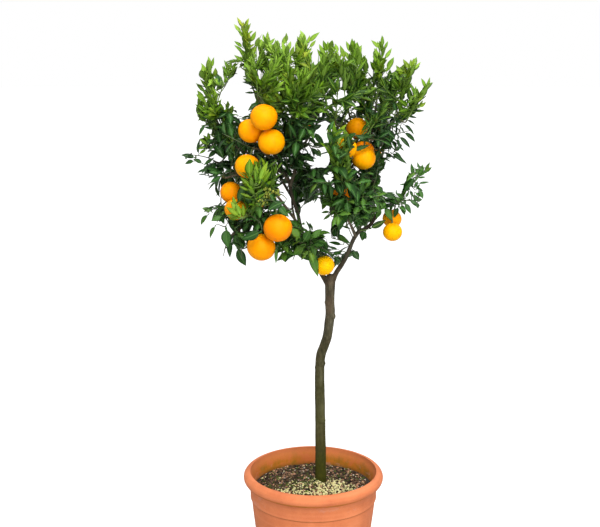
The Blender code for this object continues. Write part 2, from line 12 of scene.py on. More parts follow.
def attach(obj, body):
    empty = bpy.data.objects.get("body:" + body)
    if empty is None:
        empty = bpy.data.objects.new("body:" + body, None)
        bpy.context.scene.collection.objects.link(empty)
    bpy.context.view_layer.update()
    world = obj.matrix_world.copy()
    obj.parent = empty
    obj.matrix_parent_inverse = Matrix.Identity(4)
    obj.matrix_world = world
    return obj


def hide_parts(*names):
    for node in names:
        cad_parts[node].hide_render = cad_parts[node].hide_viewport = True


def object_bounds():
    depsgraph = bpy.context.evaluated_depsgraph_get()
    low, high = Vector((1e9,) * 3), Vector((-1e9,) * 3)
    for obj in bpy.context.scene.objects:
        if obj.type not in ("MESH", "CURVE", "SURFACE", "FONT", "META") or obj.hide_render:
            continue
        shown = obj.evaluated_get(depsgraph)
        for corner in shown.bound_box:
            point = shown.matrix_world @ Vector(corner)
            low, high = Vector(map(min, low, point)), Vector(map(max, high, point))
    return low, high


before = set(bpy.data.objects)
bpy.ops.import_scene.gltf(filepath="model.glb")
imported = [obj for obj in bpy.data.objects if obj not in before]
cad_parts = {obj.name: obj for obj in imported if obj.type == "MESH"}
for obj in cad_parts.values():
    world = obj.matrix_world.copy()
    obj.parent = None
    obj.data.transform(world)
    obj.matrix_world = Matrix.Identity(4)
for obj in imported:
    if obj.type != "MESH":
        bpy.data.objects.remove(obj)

CAD_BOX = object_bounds()

# Camera: height, distance in front of the pot's axis, sideways place, tilt and lens that match the photograph
CAMERA_X = -0.0384
CAMERA_BACK = 2.807
CAMERA_HEIGHT = 1.5
CAMERA_TILT = math.radians(11.03)
PHOTO_WIDTH = 600
PHOTO_HEIGHT = 527
FOCAL_PIXELS = 1036.0
SENSOR = 36.0

# Studio: the light of the white surroundings, and how brightly the floor shows to the camera
LOW_SKY_LIGHT = 0.54
HIGH_SKY_LIGHT = 1.40
FLOOR_GLOW = 0.7

# Pot
POT_HEIGHT = 0.35
RIM_RADIUS = 0.20
MOUTH_RADIUS = 0.1825
RIM_TALL = 0.034
COLLAR_RADIUS = 0.182
COLLAR_TALL = 0.045
BODY_RADIUS = 0.1775
BASE_RADIUS = 0.145
WALL = 0.010
FLOOR = 0.014
POT_SIDES = 128
DRAIN_HOLES = 4
DRAIN_RADIUS = 0.008
DRAIN_CIRCLE = 0.075

# Soil
SOIL_EDGE = 0.298
SOIL_CROWN = 0.020
SOIL_BUMP = 0.0025
# Patches of fertiliser granules on the soil: middle, half widths and how thickly they lie
GRANULE_PATCHES = [
    (0.042, -0.042, 0.034, 0.036, 1.6), (0.085, -0.045, 0.024, 0.028, 0.6), (0.030, -0.088, 0.036, 0.020, 1.2),
    (-0.040, -0.036, 0.026, 0.016, 0.6), (-0.090, -0.064, 0.030, 0.012, 0.7), (-0.030, -0.082, 0.034, 0.012, 0.5),
]
GRANULE_COUNT = 1500

# Wood: radii in metres, and routes from root to end
TRUNK_FOOT_X = 0.021
TRUNK_DEPTH = 0.065
TRUNK_RADII = (0.0152, 0.0122)
TRUNK = [
    (0.021, 0.0, 0.34), (0.020, 0.0, 0.435), (0.018, 0.0, 0.57), (0.017, 0.0, 0.645), (0.020, 0.0, 0.69),
    (0.030, 0.0, 0.72), (0.038, 0.0, 0.745), (0.043, 0.0, 0.785), (0.046, 0.0, 0.815), (0.0445, 0.0, 0.845),
    (0.045, 0.0, 0.905),
]
TRUNK_KNOBS = [
    ((0.0410, -0.002, 0.843), 0.0105), ((0.0455, -0.001, 0.912), 0.0125), ((0.0490, -0.002, 0.803), 0.0112), ((0.0150, -0.002, 0.655), 0.0115),
    ((0.0215, -0.004, 0.668), 0.0110), ((0.0210, -0.004, 0.50), 0.0125), ((0.0370, -0.004, 0.745), 0.0112),
]
SKIN_SWELL = 0.0012
BRANCHES = {
    "limb_right": (0.0095, 0.0070, [
        (0.045, 0.0, 0.885), (0.060, -0.005, 0.925), (0.075, -0.01, 0.95), (0.09, -0.02, 0.98),
        (0.105, -0.025, 1.02), (0.12, -0.025, 1.045),
    ]),
    "riser": (0.0062, 0.0030, [
        (0.12, -0.025, 1.045), (0.15, -0.015, 1.06), (0.17, 0.005, 1.085), (0.18, 0.03, 1.105),
        (0.17, 0.05, 1.135), (0.16, 0.06, 1.17), (0.155, 0.06, 1.22), (0.155, 0.055, 1.275),
        (0.165, 0.05, 1.34), (0.17, 0.05, 1.395),
    ]),
    "limb_left": (0.0095, 0.0030, [
        (0.044, 0.0, 0.885), (0.015, 0.01, 0.935), (0.0, 0.02, 0.965), (-0.025, 0.03, 1.0),
        (-0.035, 0.03, 1.04), (-0.045, 0.025, 1.09), (-0.06, 0.02, 1.135), (-0.07, 0.01, 1.185),
        (-0.085, 0.0, 1.21), (-0.105, 0.0, 1.25), (-0.115, 0.01, 1.29), (-0.13, 0.02, 1.345),
        (-0.15, 0.015, 1.405),
    ]),
    "leader": (0.0050, 0.0028, [
        (-0.066, 0.012, 1.165), (-0.05, 0.02, 1.215), (-0.04, 0.03, 1.265), (-0.03, 0.035, 1.31),
        (-0.03, 0.035, 1.355), (-0.03, 0.035, 1.4),
    ]),
    "left_arm": (0.0045, 0.0026, [
        (-0.08, 0.002, 1.20), (-0.12, 0.03, 1.22), (-0.165, 0.04, 1.245), (-0.21, 0.03, 1.27),
        (-0.24, 0.015, 1.295), (-0.26, 0.0, 1.34), (-0.275, -0.01, 1.385),
    ]),
    "left_low_arm": (0.0042, 0.0026, [
        (-0.038, 0.03, 1.05), (-0.07, 0.0, 1.10), (-0.11, -0.03, 1.155), (-0.155, -0.05, 1.19),
        (-0.20, -0.075, 1.205), (-0.235, -0.09, 1.20),
    ]),
    "left_hang_arm": (0.0040, 0.0026, [
        (-0.033, 0.03, 1.03), (-0.08, 0.01, 1.075), (-0.14, -0.02, 1.085), (-0.19, -0.05, 1.065),
        (-0.225, -0.06, 1.04),
    ]),
    "front_fruit_arm": (0.0036, 0.0030, [
        (-0.075, 0.012, 1.072), (-0.095, -0.06, 1.115), (-0.11, -0.12, 1.135), (-0.112, -0.155, 1.14),
    ]),
    "front_left_arm": (0.0040, 0.0032, [
        (-0.115, 0.01, 1.285), (-0.125, -0.05, 1.345), (-0.14, -0.10, 1.385), (-0.145, -0.14, 1.415),
    ]),
    "front_left_low_arm": (0.0036, 0.0026, [
        (-0.07, 0.01, 1.18), (-0.10, -0.05, 1.23), (-0.14, -0.10, 1.272), (-0.16, -0.115, 1.28),
    ]),
    "front_mid_arm": (0.0034, 0.0026, [
        (-0.052, 0.02, 1.21), (-0.05, -0.03, 1.255), (-0.045, -0.08, 1.3),
    ]),
    "front_low_arm": (0.0034, 0.0026, [
        (0.0, 0.02, 0.962), (-0.015, -0.02, 0.99), (-0.03, -0.05, 1.01),
    ]),
    "front_right_arm": (0.0040, 0.0026, [
        (0.113, -0.025, 1.032), (0.10, -0.06, 1.065), (0.085, -0.10, 1.10), (0.075, -0.14, 1.145),
    ]),
    "right_arm": (0.0040, 0.0026, [
        (0.178, 0.028, 1.10), (0.205, 0.03, 1.112), (0.23, 0.02, 1.122), (0.245, 0.01, 1.14),
    ]),
    "right_fruit_arm": (0.0034, 0.0028, [
        (0.157, 0.06, 1.225), (0.175, 0.02, 1.262), (0.168, -0.03, 1.29), (0.14, -0.065, 1.3),
        (0.103, -0.097, 1.312),
    ]),
    "middle_fruit_arm": (0.0030, 0.0024, [
        (0.158, 0.06, 1.18), (0.12, 0.045, 1.20), (0.09, 0.025, 1.21),
    ]),
    "upper_right_arm": (0.0038, 0.0026, [
        (0.155, 0.055, 1.26), (0.185, 0.045, 1.295), (0.21, 0.03, 1.33), (0.23, 0.02, 1.365),
    ]),
    "upper_mid_arm": (0.0038, 0.0028, [
        (0.155, 0.06, 1.215), (0.13, 0.085, 1.26), (0.11, 0.08, 1.31), (0.095, 0.06, 1.365),
    ]),
    "back_left_arm": (0.0040, 0.0028, [
        (-0.058, 0.02, 1.13), (-0.08, 0.07, 1.16), (-0.11, 0.12, 1.205), (-0.135, 0.155, 1.26),
    ]),
    "back_mid_arm": (0.0036, 0.0028, [
        (-0.042, 0.03, 1.26), (-0.02, 0.08, 1.285), (-0.005, 0.13, 1.32), (0.005, 0.165, 1.365),
    ]),
    "back_right_arm": (0.0038, 0.0028, [
        (0.16, 0.06, 1.165), (0.18, 0.10, 1.195), (0.195, 0.14, 1.235), (0.205, 0.17, 1.28),
    ]),
    "back_low_arm": (0.0038, 0.0026, [
        (-0.036, 0.03, 1.03), (-0.05, 0.08, 1.055), (-0.06, 0.125, 1.09), (-0.062, 0.15, 1.115),
    ]),
}
LIMBS = ("limb_right", "limb_left", "riser")
LIMB_VOXEL = 0.0018
# How thin each limb is finished, against the solid model
LIMB_SLIM = {"limb_right": 0.76, "limb_left": 0.74, "riser": 0.85}

# Fruit: centre, radius and the branch whose stalk carries it
FRUITS = [
    ((-0.129, -0.185, 1.363), 0.0344, "front_left_arm"),
    ((-0.166, -0.125, 1.325), 0.0322, "front_left_arm"),
    ((-0.111, -0.158, 1.299), 0.0345, "front_left_arm"),
    ((-0.174, -0.140, 1.235), 0.0325, "front_left_low_arm"),
    ((-0.220, -0.078, 1.159), 0.0304, "left_low_arm"),
    ((-0.207, -0.125, 1.121), 0.0287, "front_fruit_arm"),
    ((-0.158, -0.058, 1.135), 0.0285, "left_low_arm"),
    ((-0.095, -0.200, 1.084), 0.0369, "front_fruit_arm"),
    ((-0.139, -0.160, 1.027), 0.0371, "front_fruit_arm"),
    ((0.027, -0.060, 0.959), 0.0278, "front_low_arm"),
    ((0.116, 0.020, 1.323), 0.0295, "upper_mid_arm"),
    ((0.129, -0.082, 1.251), 0.0316, "right_fruit_arm"),
    ((0.081, -0.115, 1.280), 0.0285, "right_fruit_arm"),
    ((0.133, -0.020, 1.266), 0.0280, "right_fruit_arm"),
    ((0.211, -0.050, 1.049), 0.0261, "right_arm"),
    ((0.214, 0.005, 1.077), 0.0262, "right_arm"),
    ((0.076, 0.000, 1.143), 0.0273, "middle_fruit_arm"),
    ((-0.150, 0.190, 1.200), 0.0310, "back_left_arm"),
    ((-0.030, 0.170, 1.310), 0.0290, "back_mid_arm"),
    ((0.170, 0.200, 1.230), 0.0300, "back_right_arm"),
]
# How yellow each fruit is, from orange at 0 to yellow at 1. Partly each fruit's own ripeness and partly painted light:
# the values follow how lit each fruit looks, so fruits that lie in shade are painted yellower and brighter
FRUIT_YELLOW_AND_PAINTED_LIGHT = [
    0.34, 0.38, 0.48, 0.46, 0.26, 0.40, 0.35, 0.16, 0.36, 1.00, 0.40, 0.52, 0.60, 0.12, 0.72, 0.48, 0.16, 0.30, 0.20,
    0.30,
]
FRUIT_OBLATE = 0.94
STALK_RADIUS = 0.0018
STALK_RISE = 0.018
STALK_TILT = 0.45
FRUIT_CLEARANCE = 0.007
GAP = 0.0003
STRAIGHT_END = 0.004

# Leafy shoots: parent branch, foot, tip and habit
SHOOTS = [
    ("limb_left", (-0.168, 0.005, 1.445), (-0.187, -0.03, 1.592), "young"),
    ("left_arm", (-0.278, -0.012, 1.395), (-0.280, -0.02, 1.497), "young"),
    ("left_arm", (-0.262, 0.0, 1.385), (-0.232, 0.02, 1.478), "young"),
    ("limb_left", (-0.133, 0.03, 1.43), (-0.122, 0.03, 1.572), "young"),
    ("leader", (-0.080, -0.02, 1.415), (-0.073, -0.04, 1.55), "young"),
    ("leader", (-0.028, 0.035, 1.41), (-0.033, 0.03, 1.575), "young"),
    ("leader", (0.010, 0.02, 1.395), (0.043, 0.0, 1.54), "young"),
    ("upper_mid_arm", (0.094, 0.06, 1.375), (0.105, 0.06, 1.555), "young"),
    ("riser", (0.172, 0.05, 1.405), (0.185, 0.04, 1.565), "young"),
    ("upper_right_arm", (0.225, 0.02, 1.375), (0.272, 0.01, 1.505), "young"),
    ("upper_right_arm", (0.250, 0.01, 1.345), (0.303, 0.0, 1.448), "young"),
    ("upper_mid_arm", (0.055, -0.05, 1.35), (0.060, -0.13, 1.45), "young"),
    ("front_mid_arm", (-0.060, -0.09, 1.332), (-0.050, -0.16, 1.435), "young"),
    ("front_left_arm", (-0.140, -0.07, 1.40), (-0.137, -0.14, 1.470), "young"),
    ("left_arm", (-0.250, -0.03, 1.315), (-0.232, -0.06, 1.378), "young"),
    ("left_arm", (-0.277, 0.01, 1.325), (-0.307, 0.0, 1.382), "young"),
    ("left_arm", (-0.268, 0.0, 1.235), (-0.340, -0.02, 1.255), "old"),
    ("left_low_arm", (-0.225, -0.02, 1.205), (-0.287, -0.03, 1.175), "old"),
    ("left_hang_arm", (-0.236, -0.05, 1.120), (-0.290, -0.05, 1.10), "old"),
    ("left_hang_arm", (-0.232, -0.06, 1.028), (-0.245, -0.06, 0.985), "old"),
    ("left_hang_arm", (-0.195, -0.09, 1.040), (-0.193, -0.10, 0.985), "old"),
    ("left_low_arm", (-0.140, -0.14, 1.130), (-0.147, -0.19, 1.235), "young"),
    ("front_low_arm", (-0.028, -0.06, 1.02), (0.005, -0.09, 1.05), "old"),
    ("front_low_arm", (-0.040, -0.05, 1.005), (-0.058, -0.07, 0.975), "old"),
    ("leader", (-0.040, 0.0, 1.285), (0.0, -0.02, 1.275), "old"),
    ("leader", (-0.050, 0.01, 1.225), (0.002, 0.0, 1.195), "old"),
    ("front_right_arm", (0.072, -0.155, 1.185), (0.053, -0.18, 1.315), "young"),
    ("front_right_arm", (0.074, -0.13, 1.135), (0.035, -0.13, 1.11), "old"),
    ("right_arm", (0.247, 0.01, 1.148), (0.305, 0.0, 1.215), "young"),
    ("right_arm", (0.242, 0.02, 1.125), (0.287, 0.0, 1.118), "old"),
    ("limb_right", (0.095, -0.03, 1.010), (0.048, -0.04, 1.030), "old"),
    ("upper_right_arm", (0.200, 0.045, 1.29), (0.262, 0.04, 1.315), "old"),
    ("back_left_arm", (-0.142, 0.170, 1.275), (-0.165, 0.245, 1.37), "young"),
    ("back_mid_arm", (0.008, 0.178, 1.380), (0.02, 0.250, 1.48), "young"),
    ("back_right_arm", (0.210, 0.180, 1.295), (0.23, 0.250, 1.385), "young"),
    ("back_low_arm", (-0.055, 0.165, 1.140), (-0.03, 0.240, 1.180), "old"),
    ("back_left_arm", (-0.120, 0.135, 1.180), (-0.18, 0.205, 1.13), "old"),
]
# Shoots whose lower part is bare: number and the share of the length where the leaves begin
BARE_SHOOTS = {3: 0.62, 20: 0.55, 21: 0.60, 29: 0.80, 30: 0.60}
# Shoots with smaller leaves, and how large theirs are
SMALL_LEAVED = {9: 0.78, 29: 0.70, 30: 0.75}
TWIG_RADII = (0.0026, 0.0019)
SHOOT_RADII = (0.0019, 0.0009)

# The crown's outline and the openings in it, in the photograph's pixels. Leaves keep inside one and out of
# the others, at every depth, so that the white shows through where it does in the photograph.
OUTLINE = [
    (238, 19), (243, 22), (248, 19), (250, 24), (248, 34), (251, 40), (255, 33), (254, 39), (251, 46), (251, 56),
    (254, 50), (256, 43), (258, 39), (263, 35), (268, 32), (272, 37), (277, 40), (283, 41), (287, 36), (290, 41),
    (293, 47), (293, 54), (295, 46), (297, 38), (301, 31), (306, 38), (312, 38), (318, 34), (314, 43), (310, 50),
    (309, 57), (313, 53), (313, 60), (316, 62), (317, 50), (319, 45), (323, 41), (328, 44), (332, 41), (336, 47),
    (338, 56), (340, 47), (345, 52), (348, 54), (346, 43), (350, 44), (352, 39), (357, 43), (361, 46), (361, 54),
    (365, 57), (365, 66), (367, 69), (372, 65), (373, 57), (376, 50), (372, 42), (377, 44), (381, 37), (384, 43),
    (387, 43), (386, 50), (390, 50), (387, 59), (388, 64), (392, 60), (389, 70), (389, 76), (394, 74), (398, 78),
    (397, 67), (401, 70), (403, 61), (408, 63), (414, 59), (419, 63), (418, 68), (413, 71), (411, 79), (409, 84),
    (411, 86), (407, 88), (405, 93), (406, 99), (409, 96), (410, 89), (412, 88), (415, 88), (418, 94), (420, 97), (422, 82), (426, 86), (430, 79), (431, 83), (427, 91), (423, 101),
    (422, 104), (416, 110), (409, 117), (404, 120), (400, 121), (398, 126), (398, 135), (401, 144), (398, 152),
    (389, 151), (391, 157), (398, 159), (391, 160), (383, 160), (381, 166), (384, 170), (382, 176), (379, 182),
    (380, 191), (387, 195), (398, 195), (402, 191), (409, 188), (411, 183), (412, 178), (410, 172), (411, 165),
    (415, 170), (417, 163), (419, 171), (422, 165), (425, 168), (429, 163), (431, 168), (426, 174), (419, 181),
    (419, 188), (423, 196), (420, 201), (418, 207), (411, 212),
    (405, 214), (400, 207), (390, 210), (385, 222), (371, 230), (371, 243), (363, 244), (362, 260), (350, 262),
    (344, 270), (322, 282), (309, 265), (291, 260), (279, 260), (262, 248), (246, 254), (241, 258), (236, 252),
    (228, 252), (223, 244), (222, 232), (227, 227), (222, 224), (213, 223), (211, 219), (216, 214), (213, 210),
    (208, 214), (203, 217), (203, 210), (211, 206), (219, 203), (219, 190), (212, 188), (212, 184), (216, 181),
    (208, 177), (198, 174), (208, 169), (205, 165), (198, 163), (186, 163), (182, 156), (188, 153), (197, 157),
    (203, 162), (208, 157), (199, 152), (199, 140), (203, 136), (208, 133), (205, 128), (201, 130), (202, 125),
    (206, 123), (199, 120), (197, 113), (196, 105), (200, 101), (196, 94), (198, 90), (197, 85), (201, 80),
    (200, 72), (203, 64), (208, 66), (209, 58), (213, 60), (211, 69), (216, 72), (221, 84), (224, 80), (223, 68),
    (226, 63), (231, 62), (236, 57), (237, 54), (235, 46), (241, 50), (244, 44), (243, 38), (238, 30), (235, 25),
]
OPENINGS = [
    [(217, 104), (230, 79), (236, 77), (243, 80), (250, 84), (254, 90), (257, 97), (256, 103), (250, 107), (248, 115),
     (241, 118), (237, 113), (234, 106), (228, 102), (222, 105)],
    [(203, 127), (207, 126), (216, 131), (212, 134), (208, 132), (203, 136)],
    [(207, 155), (211, 152), (216, 153), (213, 157), (208, 158)],
    [(209, 161), (216, 157), (222, 157), (220, 161), (211, 163)],
    [(199, 155), (206, 151), (207, 157), (204, 163), (200, 160)],
    [(337, 77), (338, 84), (342, 86), (341, 79)],
    [(348, 112), (352, 110), (356, 111), (354, 115), (350, 116)],
    [(313, 47), (318, 46), (319, 58), (315, 62), (312, 60), (313, 54)],
    [(332, 97), (339, 91), (347, 92), (349, 97), (343, 96), (337, 100)],
    [(327, 101), (332, 99), (334, 102), (330, 106)],
    [(335, 108), (341, 103), (345, 106), (342, 112), (338, 111)],
    [(331, 123), (326, 122), (322, 124), (320, 127), (317, 129), (316, 133), (318, 136), (322, 141), (325, 145),
     (329, 142), (329, 138), (326, 134), (325, 130), (328, 127), (330, 125)],
    [(318, 149), (323, 147), (325, 150), (329, 153), (330, 156), (328, 158), (329, 161), (332, 162), (328, 164),
     (325, 166), (316, 166), (317, 160), (321, 157), (320, 154)],
    [(309, 165), (311, 161), (315, 159), (316, 161), (311, 165)],
    [(324, 172), (327, 173), (330, 171), (331, 174), (334, 174), (333, 177), (336, 178), (333, 179), (331, 182),
     (328, 182), (325, 179), (322, 176), (326, 175)],
    [(275, 177), (276, 171), (279, 170), (285, 176), (284, 177), (279, 174)],
    [(274, 184), (281, 180), (281, 184)],
    [(403, 192), (408, 191), (408, 197), (404, 201)],
    [(414, 193), (420, 193), (418, 198)],
    [(300, 209), (306, 204), (309, 201), (313, 205), (315, 202), (317, 196), (320, 196), (321, 205), (323, 209),
     (327, 202), (331, 203), (328, 211), (328, 217), (335, 219), (335, 225), (333, 229), (327, 235), (323, 235),
     (319, 227), (310, 228), (303, 225), (301, 216)],
    [(283, 184), (287, 183), (290, 192), (292, 199), (293, 208), (286, 207), (280, 204), (280, 199), (289, 199),
     (288, 194), (284, 190)],
    [(288, 213), (293, 211), (296, 217), (295, 221), (291, 219)],
    [(299, 206), (303, 201), (302, 206)],
    [(343, 218), (346, 217), (349, 225), (343, 224)],
    [(347, 215), (350, 216), (357, 230), (354, 232)],
    [(353, 244), (361, 240), (362, 248), (354, 250)],
    [(335, 231), (342, 228), (350, 228), (350, 239), (346, 238)],
    [(327, 241), (332, 234), (342, 240), (343, 244), (335, 242)],
    [(325, 246), (330, 244), (347, 245), (342, 249), (331, 249)],
    [(380, 219), (383, 211), (385, 213), (384, 219)],
    [(225, 222), (232, 226), (230, 228), (226, 227)],
    [(239, 225), (245, 224), (244, 228), (240, 229)],
    [(246, 230), (250, 224), (257, 224), (252, 228)],
]
# Small holes between the leaves: middle and half sizes in pixels
PINHOLES = [
    (321, 108, 2, 2), (322, 115, 3, 2), (326, 118, 2, 1), (310, 115, 2, 2), (303, 142, 1, 2), (310, 142, 3, 1),
    (316, 141, 2, 1), (309, 149, 2, 2), (303, 152, 3, 2), (316, 153, 3, 2), (306, 162, 2, 1), (312, 161, 3, 2),
    (322, 168, 3, 1), (377, 91, 2, 2), (384, 94, 1, 2), (378, 107, 5, 1), (379, 102, 3, 1), (389, 121, 2, 2),
    (396, 122, 1, 2), (392, 127, 2, 2), (372, 129, 2, 2), (391, 136, 1, 1), (397, 138, 2, 1), (380, 158, 2, 2),
    (290, 154, 4, 2), (293, 160, 2, 1), (298, 170, 3, 1), (296, 178, 3, 1), (272, 162, 2, 1), (310, 142, 3, 2),
    (316, 153, 4, 2), (236, 120, 1, 2), (219, 121, 3, 2), (237, 151, 3, 2), (225, 177, 2, 2), (242, 74, 2, 2),
    (260, 75, 3, 4), (272, 43, 2, 3), (267, 54, 2, 3), (256, 51, 3, 4), (283, 51, 1, 2), (288, 56, 1, 2),
    (293, 59, 1, 2), (294, 66, 1, 3), (285, 46, 2, 3), (296, 52, 1, 4), (240, 64, 2, 1), (371, 71, 2, 4), (367, 74, 1, 2), (312, 64, 1, 2),
    (376, 80, 1, 1), (400, 100, 1, 1), (389, 103, 1, 1), (390, 120, 1, 2), (397, 121, 1, 2), (392, 127, 1, 1),
]
CROWN_MIDDLE = (310.0, 150.0)
# How far a leaf may pass the outline, in pixels, and how much larger the openings count for it. Leaves that
# fill the crown draw theirs from a range, which leaves its edges loose.
MAIN_SLACK = (0.0, 4.0)
MAIN_OPENING = (0.40, 1.05)
FILL_SLACK = (-10.0, -1.0)
FILL_OPENING = (0.60, 1.40)
STEM_SLACK = 3.0
CLEAR_EDGE = 4.0
# Where fruit shows clear of leaves: pixel, pixel radius and the fruit's number
CLEAR_VIEWS = [
    (264, 117, 13, 1), (250, 132, 12, 2), (271, 142, 13, 3), (242, 161, 7, 4), (229, 192, 8, 5), (230, 213, 1, 6),
    (278, 228, 14, 8), (261, 251, 13, 9), (328, 264, 10, 10), (357, 126, 8, 11), (365, 158, 10, 12),
    (341, 143, 0, 13), (370, 146, 0, 14), (393, 232, 9, 15), (397, 220, 2, 16), (335, 194, -1, 17), (348, 194, -1, 17),
]
# Where a limb shows clear of leaves: pixels at its ends, half width in pixels and its place in depth
CLEAR_LIMBS = [
    ((331, 284), (350, 247), 5.0, -0.02), ((350, 247), (378, 214), 3.0, -0.01), ((292, 170), (303, 217), 3.5, 0.03),
]

# Painted light and shade on the leaves: where leaves are made brighter or darker than their height makes them, to stand
# for light and shade in the crown: middle and half sizes in pixels, the place in depth that they lie in front of, and
# the amounts for young and for old leaves
PAINTED_LIGHT_PATCHES = [
    (356, 100, 26, 18, 0.5, -0.50, -0.30), (368, 128, 15, 14, 0.5, -0.45, -0.35), (388, 86, 14, 12, 0.5, -0.35, 0.0),
    (290, 112, 14, 16, 0.5, -0.28, -0.20), (335, 104, 10, 8, 0.5, -0.15, 0.0), (285, 90, 16, 8, 0.5, 0.15, 0.0),
    (290, 50, 22, 14, 0.5, 0.30, 0.0), (262, 48, 16, 14, 0.5, 0.14, 0.0), (244, 26, 10, 10, 0.5, 0.20, 0.0),
    (210, 72, 12, 14, 0.5, 0.40, 0.0), (216, 108, 16, 12, 0.5, 0.40, 0.0), (265, 106, 12, 10, 0.5, 0.30, 0.2),
    (400, 76, 12, 10, 0.5, -0.10, 0.0), (425, 90, 10, 12, 0.5, 0.20, 0.0), (250, 106, 10, 10, 0.5, 0.15, 0.0),
    (262, 182, 14, 18, -0.08, 0.34, 0.25), (262, 200, 14, 12, -0.08, 0.10, 0.20), (266, 224, 26, 22, -0.19, 0.0, -0.50),
    (350, 112, 14, 12, 0.5, -0.30, -0.35), (210, 90, 12, 8, 0.5, -0.25, 0.0), (206, 130, 10, 8, 0.5, 0.40, 0.50), (330, 150, 8, 14, 0.5, 0.10, 0.30),
    (330, 210, 10, 16, 0.5, 0.0, 0.45), 
    (308, 129, 10, 10, 0.5, 0.20, 0.30), (274, 106, 8, 10, 0.5, 0.25, 0.30), (308, 268, 12, 8, 0.5, 0.0, 0.35),
    (339, 150, 15, 26, -0.08, 0.50, 0.10), (326, 168, 12, 12, 0.0, 0.20, 0.20),
    (420, 172, 16, 12, 0.5, 0.10, 0.40), (390, 168, 12, 10, 0.5, 0.0, 0.40), (415, 200, 16, 12, 0.5, 0.0, 0.12), (425, 171, 10, 8, 0.5, -0.50, 0.0),
    (370, 190, 16, 18, 0.5, 0.0, 0.40), (372, 208, 14, 10, 0.5, 0.0, 0.25),
    (236, 212, 14, 12, -0.08, 0.50, 0.0), (205, 195, 16, 22, 0.5, 0.0, 0.30), (225, 235, 12, 12, 0.5, 0.0, -0.08),
    (286, 226, 14, 12, 0.5, 0.0, 0.40), (306, 222, 14, 12, 0.5, 0.0, 0.35), (286, 246, 14, 10, 0.5, 0.0, 0.30),
    (327, 206, 14, 12, 0.5, 0.0, 0.40), (250, 238, 12, 12, 0.5, 0.0, -0.35), (315, 258, 8, 12, -0.09, 0.0, 0.40),
    (339, 244, 13, 16, 0.5, 0.0, -0.35), (406, 132, 12, 16, 0.5, 0.0, -0.30), (252, 110, 7, 7, 0.5, 0.0, -0.40),
    (358, 254, 8, 8, 0.5, 0.0, -0.30), (377, 224, 8, 6, 0.5, 0.0, 0.50), (392, 82, 4, 9, 0.5, -0.45, 0.0),
    (252, 198, 12, 12, 0.5, 0.0, 0.25), (246, 150, 14, 10, 0.5, 0.40, 0.45), (228, 132, 12, 10, 0.5, 0.20, 0.25),
    (208, 145, 12, 14, 0.5, 0.35, 0.20), (310, 148, 12, 12, 0.5, 0.0, 0.25), (286, 148, 10, 12, 0.5, 0.0, 0.15),
]

# Foliage habits: leaf spacing, length and width in metres, angles in degrees
HABITS = {
    "young": {
        "spacing": 0.0074, "length": 0.047, "width": 0.34, "angle": 36.0, "droop": 0.0, "sky": 0.10,
        "arch": (-0.15, 0.25), "fold": (0.20, 0.55), "laterals": 3, "lateral_angle": 28.0,
    },
    "old": {
        "spacing": 0.0096, "length": 0.055, "width": 0.44, "angle": 62.0, "droop": 0.16, "sky": 0.75,
        "arch": (0.15, 0.75), "fold": (0.10, 0.40), "laterals": 2, "lateral_angle": 48.0,
    },
}
GOLDEN_ANGLE = 137.5

